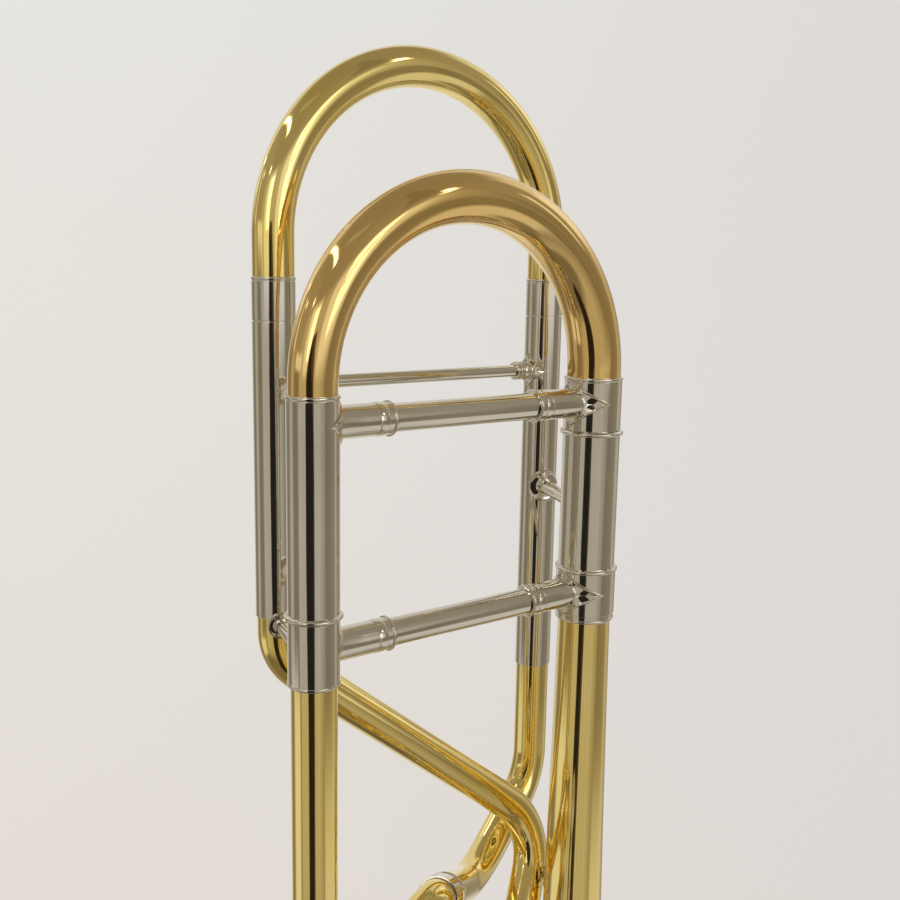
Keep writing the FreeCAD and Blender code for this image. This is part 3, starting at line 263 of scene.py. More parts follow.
def loft(rings, grains, closed):
    # joins rings of points one to the next; a ring of one point is a pole
    starts = np.cumsum([0] + [len(ring) for ring in rings])
    faces = []
    pairs = [(i, i + 1) for i in range(len(rings) - 1)]
    if closed:
        pairs.append((len(rings) - 1, 0))
    for a, b in pairs:
        countA, countB = len(rings[a]), len(rings[b])
        for k in range(max(countA, countB)):
            after = (k + 1) % max(countA, countB)
            corners = [starts[a] + min(k, countA - 1), starts[a] + min(after, countA - 1),
                       starts[b] + min(after, countB - 1), starts[b] + min(k, countB - 1)]
            faces.append(tuple(dict.fromkeys(int(corner) for corner in corners)))
    return np.vstack(rings), faces, np.vstack(grains)


def joined(shells):
    points, faces, grains, start = [], [], [], 0
    for shellPoints, shellFaces, shellGrain in shells:
        points.append(shellPoints)
        grains.append(shellGrain)
        faces += [tuple(corner + start for corner in face) for face in shellFaces]
        start += len(shellPoints)
    return np.vstack(points), faces, np.vstack(grains)


def newPiece(name, shells, body, metal, marks, replaced=()):
    points, faces, grains = joined(shells)
    mesh = bpy.data.meshes.new(name)
    mesh.from_pydata(points.tolist(), [], faces)
    attribute = mesh.attributes.new("grain", "FLOAT_VECTOR", "POINT")
    attribute.data.foreach_set("vector", grains.astype(np.float32).ravel())
    work = bmesh.new()
    work.from_mesh(mesh)
    bmesh.ops.recalc_face_normals(work, faces=work.faces)
    work.to_mesh(mesh)
    work.free()
    mesh.shade_smooth()
    mesh.set_sharp_from_angle(angle=math.radians(34))
    return dress(bpy.data.objects.new(name, mesh), body, metal, marks, replaced)


def dress(piece, body, metal, marks, replaced=()):
    # finish, material slot, body and the nodes that the piece stands for
    if piece.name not in bpy.context.scene.collection.objects:
        bpy.context.scene.collection.objects.link(piece)
    piece.data.materials.clear()
    piece.data.materials.append(finishes[metal, marks])
    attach(piece, body)
    if replaced:
        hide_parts(*replaced)
    return piece


def sideAxes(axis):
    axis = Vector(axis).normalized()
    side = axis.cross(up if abs(axis.z) < 0.9 else north).normalized()
    return axis, side, axis.cross(side)


def turned(profile, origin, axis=up, count=96, closed=True):
    # a profile of (radius, along) turned about an axis
    axis, side, top = (np.array(v) for v in sideAxes(axis))
    angle = np.linspace(0, 2 * math.pi, count, endpoint=False)[:, None]
    spoke = np.cos(angle) * side + np.sin(angle) * top
    rings, grains = [], []
    for radius, along in profile:
        if radius < 1e-7:
            rings.append(np.array([np.array(origin) + axis * along]))
            grains.append(np.array([[0, 0, along]]))
        else:
            rings.append(np.array(origin) + axis * along + spoke * radius)
            grains.append(np.hstack([np.cos(angle), np.sin(angle), np.full_like(angle, along)]))
    return loft(rings, grains, closed)


def eased(points, radius, closed=True, steps=4):
    # rounds the corners of a profile; a third value on a point is its own radius
    result = []
    count = len(points)
    for index, point in enumerate(points):
        corner = np.array(point[:2], float)
        reach = point[2] if len(point) > 2 else radius
        if reach <= 0 or (not closed and index in (0, count - 1)):
            result.append(tuple(corner))
            continue
        back = np.array(points[index - 1][:2], float) - corner
        forth = np.array(points[(index + 1) % count][:2], float) - corner
        backLong, forthLong = np.linalg.norm(back), np.linalg.norm(forth)
        reach = min(reach, 0.4 * backLong, 0.4 * forthLong)
        back, forth = back / backLong, forth / forthLong
        hold = min(1.6 * reach, 0.45 * backLong, 0.45 * forthLong)
        result.append(tuple(corner + back * hold))
        for t in np.linspace(0, 1, steps + 1):
            result.append(tuple((1 - t) ** 2 * (corner + back * reach) + 2 * t * (1 - t) * corner
                                + t ** 2 * (corner + forth * reach)))
        result.append(tuple(corner + forth * hold))
    return result


def bead(radius, along, height, half, sense=1):
    # a half-round ring on a profile, its points kept as they are
    turn = np.linspace(0, math.pi, 11)
    return [(radius + height * math.sin(t), along - sense * half * math.cos(t), 0) for t in turn]


def sleeve(radius, bore, low, high, rings=(), ease=0.15 * mm):
    # closed profile of a short tube with beads: rings are (along, height, half width)
    outside = [(radius, low)]
    for along, height, half in rings:
        outside += bead(radius, along, height, half)
    return eased(outside + [(radius, high), (bore, high), (bore, low)], ease)


def smoothLine(points, steps=6):
    # a curve through points, for outlines without corners
    spots = [np.array(p, float) for p in points]
    spots = [2 * spots[0] - spots[1]] + spots + [2 * spots[-1] - spots[-2]]
    line = []
    for i in range(1, len(spots) - 2):
        before, start, end, beyond = spots[i - 1:i + 3]
        for t in np.linspace(0, 1, steps, endpoint=False):
            line.append(0.5 * (2 * start + (end - before) * t
                               + (2 * before - 5 * start + 4 * end - beyond) * t * t
                               + (3 * start - before - 3 * end + beyond) * t ** 3))
    return line + [spots[-2]]


def straight(start, end, step=5 * mm):
    count = max(2, int((end - start).length / step) + 1)
    return [start.lerp(end, i / count) for i in range(count + 1)]


def bentPath(points, bends):
    # straight runs joined by tangent arcs, one radius for each inner point
    path = []
    start = points[0]
    for index, radius in enumerate(bends, start=1):
        corner = points[index]
        arrive = (corner - points[index - 1]).normalized()
        leave = (points[index + 1] - corner).normalized()
        turn = arrive.angle(leave)
        first = corner - arrive * (radius * math.tan(turn / 2))
        path += straight(start, first)[:-1]
        centre = first + (leave - arrive * math.cos(turn)).normalized() * radius
        outward = (first - centre).normalized()
        count = max(4, int(math.degrees(turn) / 3))
        for step in range(count + 1):
            angle = turn * step / count
            path.append(centre + (outward * math.cos(angle) + arrive * math.sin(angle)) * radius)
        start = path.pop()
    return path + straight(start, points[-1])


def tube(path, radii, wall, count=72, lip=0.15 * mm):
    # a hollow tube of changing radius along a path, its ends slightly rounded
    spots = np.array([tuple(p) for p in path])
    radii = np.broadcast_to(np.asarray(radii, float), (len(spots),))
    tangents = np.gradient(spots, axis=0)
    tangents /= np.linalg.norm(tangents, axis=1)[:, None]
    travelled = np.concatenate([[0], np.cumsum(np.linalg.norm(np.diff(spots, axis=0), axis=1))])
    side = np.array(sideAxes(tangents[0])[1])
    stations = []
    for spot, tangent, radius, along in zip(spots, tangents, radii, travelled):
        side = side - tangent * side.dot(tangent)
        side /= np.linalg.norm(side)
        stations.append([spot, tangent, side, radius, along])
    ends = [(stations[0], 1), (stations[-1], -1)]
    inner = [[s, t, d, r - wall, a] for s, t, d, r, a in stations]
    outerEdge = [[s, t, d, r - lip, a] for (s, t, d, r, a), sense in ends]
    innerEdge = [[s, t, d, r - wall + lip, a] for (s, t, d, r, a), sense in ends]
    for line in (stations, inner):
        for place, sense in ((0, 1), (-1, -1)):
            line[place] = line[place][:]
            line[place][0] = line[place][0] + line[place][1] * lip * sense
    loop = [outerEdge[0]] + stations + [outerEdge[1], innerEdge[1]] + inner[::-1] + [innerEdge[0]]
    angle = np.linspace(0, 2 * math.pi, count, endpoint=False)[:, None]
    rings, grains = [], []
    for spot, tangent, side, radius, along in loop:
        rings.append(spot + (np.cos(angle) * side + np.sin(angle) * np.cross(tangent, side)) * radius)
        grains.append(np.hstack([np.cos(angle), np.sin(angle), np.full_like(angle, along)]))
    return loft(rings, grains, True)


def standing(node):
    # axis, radius, low and high end of a round upright node
    low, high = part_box(node)
    return Vector(((low.x + high.x) / 2, (low.y + high.y) / 2, 0)), (high.y - low.y) / 2, low.z, high.z


def lying(node):
    # start, end and radius of a round node along X
    low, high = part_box(node)
    middle = (low.y + high.y) / 2, (low.z + high.z) / 2
    return Vector((low.x, *middle)), Vector((high.x, *middle)), (high.z - low.z) / 2


# --- brace ends: a barrel that meets a tube squarely, on a pointed or round foot

def barrelEnd(leg, legRadius, height, facing, profile, count=72):
    # profile rows are (distance from the leg's skin, radius), the last one closing on the axis
    across = up.cross(facing)
    angle = np.linspace(0, 2 * math.pi, count, endpoint=False)[:, None]
    rings, grains = [], []
    for along, radius in profile:
        sideways = np.cos(angle) * radius
        skin = np.sqrt(np.maximum(legRadius ** 2 - sideways ** 2, 0))
        settle = min(max((along - 1 * mm) / (5 * mm), 0), 1)
        settle = settle * settle * (3 - 2 * settle)
        out = skin * (1 - settle) + legRadius * settle + along
        ring = (np.array(leg) + np.array([0, 0, height]) + out * np.array(facing)
                + sideways * np.array(across) + np.sin(angle) * radius * np.array(up))
        grain = np.hstack([np.cos(angle), np.sin(angle), np.full_like(angle, along)])
        rings.append(ring[:1] if radius < 1e-7 else ring)
        grains.append(grain[:1] if radius < 1e-7 else grain)
    return loft(rings, grains, False)


def foot(leg, legRadius, height, facing, reach, rise, thick, pointed=True, count=120):
    # a thin plate that hugs the leg, with a raised rim; pointed plates end in four corners
    power = 2.25 if pointed else 1.0
    across = up.cross(facing)
    angle = np.linspace(0, 2 * math.pi, count, endpoint=False)[:, None]
    a = reach * np.sign(np.cos(angle)) * np.abs(np.cos(angle)) ** power
    b = rise * np.sign(np.sin(angle)) * np.abs(np.sin(angle)) ** power
    rows = [(0.0, -0.35), (1.0, -0.35), (1.0, 0.15), (0.985, 0.6), (0.96, 0.92), (0.93, 1.0),
            (0.90, 0.92), (0.87, 0.66), (0.84, 0.55), (0.6, 0.55), (0.3, 0.55), (0.0, 0.55)]
    rings, grains = [], []
    for share, level in rows:
        skin = legRadius + thick * level
        turn = a * share / legRadius
        ring = (np.array(leg) + np.array([0, 0, height]) + skin * np.cos(turn) * np.array(facing)
                + skin * np.sin(turn) * np.array(across) + b * share * np.array(up))
        grain = np.hstack([a * share, b * share, np.full_like(angle, thick * level)])
        rings.append(ring if share > 0 else ring[:1])
        grains.append(grain if share > 0 else grain[:1])
    return loft(rings, grains, False)


def barrelProfile(size):
    # solder fillet, plain barrel, a bead and a fine ring at the mouth
    radius, long = size["radius"], size["long"]
    fillet = size["fillet"]
    rows = [(-0.35 * mm, 0.0), (-0.35 * mm, radius + fillet)]
    for t in np.linspace(0, 1, 6):
        rows.append((fillet * 1.3 * t, radius + fillet * (1 - t) ** 2.2))
    rows.append((long * 0.4, radius))
    for along, height, half in size["rings"]:
        rows.append((long - along - half * 1.3, radius))
        rows += [(a, r) for r, a, _ in bead(radius, long - along, height, half)]
    rows += [(long - 0.15 * mm, radius), (long, radius - 0.15 * mm), (long, size["tube"] - 0.1 * mm),
             (long - 2 * mm, size["tube"] - 0.1 * mm), (long - 2 * mm, 0.0)]
    return rows


# --- shared places, all read from the frame

neckAxis, ferruleRadius, ferruleLow, ferruleHigh = standing("neckpipe_ferrule")
bellAxis = standing("bell_flare")[0]
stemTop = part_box("bell_stem")[1].z
mouthAxis = standing("mouthpiece")[0]
loopLeft, loopSleeve, leftLow, loopSplit = standing("f_outer_left")
loopRight, loopSleeve, rightLow, loopSplit = standing("f_outer_right")
rotorLow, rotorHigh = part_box("rotor")
valve = Vector(((rotorLow.x + rotorHigh.x) / 2, 0, (rotorLow.z + rotorHigh.z) / 2))
tubeWall = 0.6 * mm


def port(side, level, distance):
    return valve + Vector((side, 0, level)).normalized() * distance


elbow = (valve.x - neckAxis.x) * math.sqrt(2)


def arch(centre, half, plane, degrees=2):
    # a half ring over the top from -side to +side
    return [centre - plane * (half * math.cos(t)) + up * (half * math.sin(t))
            for t in np.linspace(0, math.pi, int(180 / degrees) + 1)]


def mainSlidePieces():
    size = {"smallRadius": 8.6 * mm, "largeRadius": 10.9 * mm, "grooveDown": 1.5 * mm,
            "groove": 0.14 * mm, "bead": 1.2 * mm, "beadHalf": 1.0 * mm, "lip": 0.22 * mm,
            "lipHalf": 0.6 * mm}
    low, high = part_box("main_crook")
    half = (bellAxis.x - neckAxis.x) / 2
    topRadius = (size["smallRadius"] + size["largeRadius"]) / 2
    centreZ = high.z - half - topRadius
    centre = Vector((neckAxis.x + half, 0, centreZ))
    legs = [Vector((neckAxis.x, 0, low.z)), Vector((bellAxis.x, 0, low.z))]
    bend = arch(centre, half, east, 1.5)
    path = straight(legs[0], bend[0])[:-1] + bend + straight(bend[-1], legs[1])[1:]
    share = np.clip([(math.atan2(p.z - centreZ, centre.x - p.x)) / math.pi if p.z > centreZ else
                     (0 if p.x < centre.x else 1) for p in path], 0, 1)
    radii = size["smallRadius"] + (size["largeRadius"] - size["smallRadius"]) * share
    newPiece("mainCrook", [tube(path, radii, tubeWall, 96)], "main_slide", "roseBrass", "run",
             ["main_crook"])
    axis, radius, sleeveLow, sleeveHigh = standing("main_sleeve_left")
    radius = ferruleRadius
    groove = -size["groove"]
    lines = [(sleeveLow + size["beadHalf"], size["bead"], size["beadHalf"]),
             (sleeveHigh - size["grooveDown"], groove, 0.25 * mm),
             (sleeveHigh - size["lipHalf"] - 0.1 * mm, size["lip"], size["lipHalf"])]
    newPiece("mainSleeveLeft",
             [turned(sleeve(radius, size["smallRadius"], sleeveLow, sleeveHigh, lines), axis)],
             "main_slide", "nickelSilver", "run", ["main_sleeve_left"])
    axis, radius, low, high = standing("main_ferrule_right")
    lines = [(high - size["grooveDown"], groove, 0.25 * mm),
             (high - size["lipHalf"] - 0.1 * mm, size["lip"], size["lipHalf"])]
    newPiece("mainFerruleRight",
             [turned(sleeve(radius, size["largeRadius"], low, high, lines), axis)],
             "main_slide", "nickelSilver", "run", ["main_ferrule_right"])
    for node, body in (("main_male_leg", "main_slide"), ("neckpipe_male_leg", "bell_section")):
        axis, radius, low, high = standing(node)
        newPiece(node + "Tube", [turned(sleeve(radius, radius - tubeWall, low, high), axis)],
                 body, "nickelSilver", "run", [node])
    print("main tuning slide done")


def bellSideTubes():
    size = {"receiverBore": 10.95 * mm, "receiver": 11.7 * mm, "bead": 1.3 * mm,
            "beadHalf": 1.0 * mm, "collarBead": 0.6 * mm, "collarStep": 3 * mm,
            "stemSeat": 11.0 * mm}
    axis, widest, low, high = standing("bell_receiver_tube")
    lines = [(high - size["beadHalf"], size["bead"], size["beadHalf"])]
    newPiece("bellReceiver",
             [turned(sleeve(size["receiver"], size["receiverBore"], low, high, lines), axis)],
             "bell_section", "nickelSilver", "run", ["bell_receiver_tube"])
    axis, widest, low, high = standing("bell_collar")
    collar = widest - size["collarBead"]
    step = collar - 0.4 * mm
    outline = [(step, low)] + bead(step, low + 0.7 * mm, 0.25 * mm, 0.6 * mm)
    outline += [(step, low + size["collarStep"]), (collar, low + size["collarStep"])]
    outline += bead(collar, high - 1 * mm, size["collarBead"], 0.8 * mm)
    outline += [(collar, high), (size["receiver"] - 0.2 * mm, high), (size["stemSeat"], low + 6 * mm),
                (size["stemSeat"], low)]
    newPiece("bellCollar", [turned(eased(outline, 0.15 * mm), axis)], "bell_section",
             "nickelSilver", "run", ["bell_collar"])
    newPiece("neckpipeFerrule",
             [turned(sleeve(ferruleRadius, 8.55 * mm, ferruleLow, ferruleHigh,
                            [(ferruleLow + 0.7 * mm, 0.25 * mm, 0.6 * mm)]), neckAxis)],
             "bell_section", "nickelSilver", "run", ["neckpipe_ferrule"])
    print("receiver, collar and ferrule done")


def braces():
    thick = {"radius": 6.0 * mm, "long": 22 * mm, "fillet": 0.8 * mm, "tube": 5.25 * mm,
             "rings": [(5.6 * mm, 0.22 * mm, 1.9 * mm), (1.1 * mm, 0.6 * mm, 0.55 * mm)]}
    short = dict(thick, long=14 * mm)
    wide = dict(thick, long=16 * mm, fillet=3.2 * mm)
    thin = {"radius": 3.4 * mm, "long": 9 * mm, "fillet": 1.1 * mm, "tube": 2.7 * mm,
            "rings": [(5.2 * mm, 0.9 * mm, 1.6 * mm), (2.2 * mm, 0.75 * mm, 0.5 * mm),
                      (0.9 * mm, 0.75 * mm, 0.5 * mm)]}
    wing = {"reach": math.radians(86), "rise": 9.6 * mm, "thinReach": math.radians(58),
            "loopReach": math.radians(68), "thinRise": 7.8 * mm, "thick": 0.8 * mm}
    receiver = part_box("slide_receiver")
    receiverRadius = (receiver[1].y - receiver[0].y) / 2 - 0.9 * mm
    collarRadius = 12.4 * mm
    receiverTube = 11.7 * mm
    rows = [
        ("main_brace", "main_slide", neckAxis, ferruleRadius, bellAxis, receiverTube, thick, thick),
        ("lower_brace", "bell_section", neckAxis, ferruleRadius, bellAxis, collarRadius, thick, thick),
        ("f_brace", "bell_section", loopLeft, loopSleeve, loopRight, loopSleeve, thin, thin),
        ("bell_brace", "bell_section", neckAxis, receiverRadius, bellAxis, None, short, wide),
    ]
    for name, body, left, leftRadius, right, rightRadius, leftEnd, rightEnd in rows:
        start, end, radius = lying(name + "_tube")
        reach, rise = wing["reach"], wing["rise"]
        if name == "f_brace":
            reach, rise = wing["loopReach"], wing["thinRise"]
        height = start.z
        if rightRadius is None:
            rightRadius = bellRadius(height)
        bar = [(radius, 0), (radius, (end - start).length), (radius - tubeWall, (end - start).length),
               (radius - tubeWall, 0)]
        newPiece(name + "Bar", [turned(eased(bar, 0.12 * mm), start, east, 72)], body,
                 "nickelSilver", "run", [name + "_tube"])
        leftReach, leftRise = reach, rise
        if name == "lower_brace":
            leftReach, leftRise = wing["thinReach"], wing["thinRise"]
        shells = [barrelEnd(left, leftRadius, height, east, barrelProfile(leftEnd)),
                  foot(left, leftRadius, height, east, leftReach * leftRadius, leftRise, wing["thick"]),
                  barrelEnd(right, rightRadius, height, -east, barrelProfile(rightEnd))]
        if name != "bell_brace":
            shells.append(foot(right, rightRadius, height, -east, reach * rightRadius, rise,
                               wing["thick"]))
        newPiece(name + "Ends", shells, body, "nickelSilver", "run", [name + "_sockets"])
    print("braces done")


bellSizes = {"rim": 106.5 * mm, "stem": 5.0 * mm, "flare": 30.2 * mm, "wall": 0.7 * mm,
             "wire": 1.5 * mm, "wireHalf": 1.0 * mm}


def bellRadius(height):
    return bellSizes["stem"] + (bellSizes["rim"] - bellSizes["stem"]) / (1 + height / bellSizes["flare"])


def bellPiece():
    stations = [stemTop * (step / 150) ** 1.7 for step in range(151)]
    outside = [(bellRadius(z), z) for z in stations if z > 2 * bellSizes["wireHalf"]]
    inside = [(bellRadius(z) - bellSizes["wall"], z) for z in stations if z > 0.2 * mm]
    wire = [(bellSizes["rim"] + bellSizes["wire"] * math.sin(t),
             bellSizes["wireHalf"] * (1 - math.cos(t))) for t in np.linspace(-0.5, math.pi, 14)]
    profile = wire + outside + inside[::-1]
    newPiece("trombone_bell", [turned(profile, bellAxis, up, 192)], "bell_section", "yellowBrass",
             "spun", ["bell_flare", "bell_stem"])
    print("bell done")


def attachmentPieces():
    size = {"crook": 8.05 * mm, "male": 7.75 * mm, "wrap": 7.8 * mm, "port": 22.5 * mm,
            "inserted": 12 * mm, "neck": 8.3 * mm, "neckBend": 18 * mm, "outerBore": 7.8 * mm,
            "clasp": 8.7 * mm, "claspStart": 11.6 * mm, "claspEnd": 25.6 * mm,
            "lowerBends": [24 * mm, 26 * mm, 24 * mm, 14 * mm],
            "upperBends": [30 * mm, 30 * mm, 14 * mm]}
    low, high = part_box("f_crook")
    half = (loopRight.x - loopLeft.x) / 2
    centreZ = high.z - half - size["crook"]
    middle = Vector(((loopRight.x + loopLeft.x) / 2, loopLeft.y, centreZ))
    bend = arch(middle, half, east, 1.5)
    path = straight(Vector((loopLeft.x, loopLeft.y, low.z)), bend[0])[:-1] + bend
    path += straight(bend[-1], Vector((loopRight.x, loopRight.y, low.z)))[1:]
    newPiece("attachmentCrook", [tube(path, size["crook"], tubeWall, 96)], "f_slide",
             "yellowBrass", "run", ["f_crook"])
    ferruleLo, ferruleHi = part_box("f_ferrules")
    maleLo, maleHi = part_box("f_male_legs")
    ferrules, males = [], []
    for leg in (loopLeft, loopRight):
        lines = [(ferruleHi.z - 1.5 * mm, -0.12 * mm, 0.22 * mm),
                 (ferruleHi.z - 0.6 * mm, 0.2 * mm, 0.5 * mm)]
        ferrules.append(turned(sleeve(loopSleeve, size["crook"], ferruleLo.z, ferruleHi.z, lines), leg))
        males.append(turned(sleeve(size["male"], size["male"] - tubeWall, maleLo.z, maleHi.z), leg))
    newPiece("attachmentFerrules", ferrules, "f_slide", "nickelSilver", "run", ["f_ferrules"])
    newPiece("attachmentMaleLegs", males, "f_slide", "nickelSilver", "run", ["f_male_legs"])
    for name, leg, bottom in (("left", loopLeft, leftLow), ("right", loopRight, rightLow)):
        newPiece("attachmentOuter_" + name,
                 [turned(sleeve(loopSleeve, size["outerBore"], bottom, loopSplit), leg)],
                 "bell_section", "nickelSilver", "run", ["f_outer_" + name])
    lowerPoints = [Vector((loopLeft.x, loopLeft.y, leftLow + size["inserted"])),
                   Vector((loopLeft.x, loopLeft.y, 0.4785)), Vector((0.006, 0.031, 0.379)),
                   Vector((-0.023, 0.013, 0.331)), port(1, -1, elbow), port(1, -1, size["port"])]
    upperPoints = [Vector((loopRight.x, loopRight.y, rightLow + size["inserted"])),
                   Vector((loopRight.x, loopRight.y, 0.388)), Vector((-0.023, 0.044, 0.352)),
                   port(1, 1, elbow), port(1, 1, size["port"])]
    clasps = []
    for name, points, bends in (("lower", lowerPoints, size["lowerBends"]),
                                ("upper", upperPoints, size["upperBends"])):
        newPiece("wrap_" + name, [tube(bentPath(points, bends), size["wrap"], tubeWall, 80)],
                 "bell_section", "yellowBrass", "run", ["wrap_tube_" + name])
        along = (points[-3] - points[-2]).normalized()
        long = size["claspEnd"] - size["claspStart"]
        lines = [(long - 1.2 * mm, 0.45 * mm, 0.8 * mm)]
        clasps.append(turned(sleeve(size["clasp"], size["wrap"], 0, long, lines),
                             points[-2] + along * size["claspStart"], along))
    newPiece("wrapFerrules", clasps, "bell_section", "nickelSilver", "run", ["wrap_ferrules"])
    for name, level in (("upper", 1), ("lower", -1)):
        low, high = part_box("neckpipe_" + name)
        start = Vector((neckAxis.x, 0, high.z if level > 0 else low.z))
        points = [start, port(-1, level, elbow), port(-1, level, size["port"])]
        newPiece("neckpipe_%s_tube" % name,
                 [tube(bentPath(points, [size["neckBend"]]), size["neck"], tubeWall, 80)],
                 "bell_section", "yellowBrass", "run", ["neckpipe_" + name])
    print("attachment tubing done")


def stayPieces():
    # each stay: first leg, its radius, direction, length to the second leg, height, post, foot
    thick = 1.1 * mm
    rows = [(bellAxis, 11.7 * mm, loopRight, loopSleeve, 0.536, 3.2 * mm, 7.5 * mm),
            (neckAxis, ferruleRadius, loopLeft, loopSleeve, 0.495, 2.8 * mm, 5.5 * mm)]
    shells = []
    for first, firstRadius, second, secondRadius, height, post, disc in rows:
        facing = Vector((second - first)).normalized()
        start = first + facing * (firstRadius - 0.3 * mm) + up * height
        long = (second - first).length - firstRadius - secondRadius + 0.6 * mm
        waist = [(0, 0), (post * 1.35, 0), (post * 1.1, 1.2 * mm), (post * 0.92, long / 2),
                 (post * 1.1, long - 1.2 * mm), (post * 1.35, long), (0, long)]
        shells.append(turned(eased(waist, 1 * mm, False), start, facing, 48, False))
        shells.append(foot(first, firstRadius, height, facing, disc, disc, thick, False))
        shells.append(foot(second, secondRadius, height, -facing, disc, disc, thick, False))
    stay = {"height": 0.362, "post": 3.2 * mm, "foot": 6.5 * mm, "thick": 1.2 * mm, "long": 8.5 * mm}
    skin = bellRadius(stay["height"])
    waist = [(0, 0), (stay["post"] * 1.4, 0), (stay["post"], 2 * mm), (stay["post"], stay["long"]),
             (0, stay["long"])]
    shells.append(turned(eased(waist, 1 * mm, False), Vector((0, skin, stay["height"])), north, 48,
                         False))
    shells.append(foot(bellAxis, skin, stay["height"], north, stay["foot"], stay["foot"],
                       stay["thick"], False))
    newPiece("tubeStays", shells, "bell_section", "nickelSilver", "run", ["tube_stays"])
    print("stays done")


mainSlidePieces()
bellSideTubes()
bellPiece()
braces()
attachmentPieces()
stayPieces()


# --- rotary valve, slide receiver, hand slide

def valvePieces():
    size = {"casing": 21 * mm, "bore": 17.05 * mm, "half": 20 * mm, "band": 0.5 * mm,
            "stub": 9 * mm, "stubStart": 17.5 * mm, "stubBore": 7.9 * mm,
            "neckMouth": 29 * mm, "wrapMouth": 25 * mm, "spindle": 4.05 * mm,
            "backPlate": 16 * mm, "backThick": 2.6 * mm}
    half, casing, band = size["half"], size["casing"], size["band"]
    outline = [(casing, -half), (casing, -half + 4 * mm), (casing - band, -half + 5 * mm),
               (casing - band, half - 5 * mm), (casing, half - 4 * mm), (casing, half),
               (size["bore"], half), (size["bore"], -half)]
    shells = [turned(eased(outline, 0.25 * mm), valve, north, 128)]
    for side, mouth in ((-1, size["neckMouth"]), (1, size["wrapMouth"])):
        for level in (-1, 1):
            lines = [(mouth - 1.4 * mm, 0.4 * mm, 0.8 * mm)]
            stub = sleeve(size["stub"] - 0.3 * mm, size["stubBore"], size["stubStart"], mouth, lines)
            shells.append(turned(stub, valve, port(side, level, 1) - valve, 72))
    newPiece("valveCasing", shells, "bell_section", "yellowBrass", "spun", ["valve_casing"])
    low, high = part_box("valve_bearing_front")
    south = -north
    plate = (high.x - low.x) / 2
    outline = [(size["spindle"], 0), (plate, 0), (plate, 3 * mm), (plate * 0.8, 3.3 * mm),
               (9 * mm, 3.3 * mm), (9 * mm, 5 * mm), (size["spindle"], 5 * mm)]
    newPiece("valveBearingFront", [turned(eased(outline, 0.3 * mm), valve - north * half, south)],
             "bell_section", "nickelSilver", "spun", ["valve_bearing_front"])
    outline = [(size["spindle"], 0), (size["backPlate"], 0), (size["backPlate"], size["backThick"]),
               (size["spindle"], size["backThick"])]
    newPiece("valveBearingBack", [turned(eased(outline, 0.2 * mm), valve + north * half)],
             "bell_section", "nickelSilver", "spun", ["valve_bearing_back"])
    outline = [(0, 5.2 * mm), (16.5 * mm, 5.2 * mm), (16.5 * mm, 0), (21.4 * mm, 0),
               (21.4 * mm, 5 * mm), (20 * mm, 7.0 * mm), (12 * mm, 7.7 * mm), (6 * mm, 7.4 * mm),
               (5 * mm, 8.6 * mm), (0, 8.6 * mm)]
    newPiece("valveCap", [turned(eased(outline, 0.6 * mm, False), valve + north * half, north, 128,
                                 False)], "bell_section", "nickelSilver", "spun", ["valve_cap"])
    print("valve done")


def twoColumns(profile):
    return [turned(profile, axis) for axis in (neckAxis, mouthAxis)]


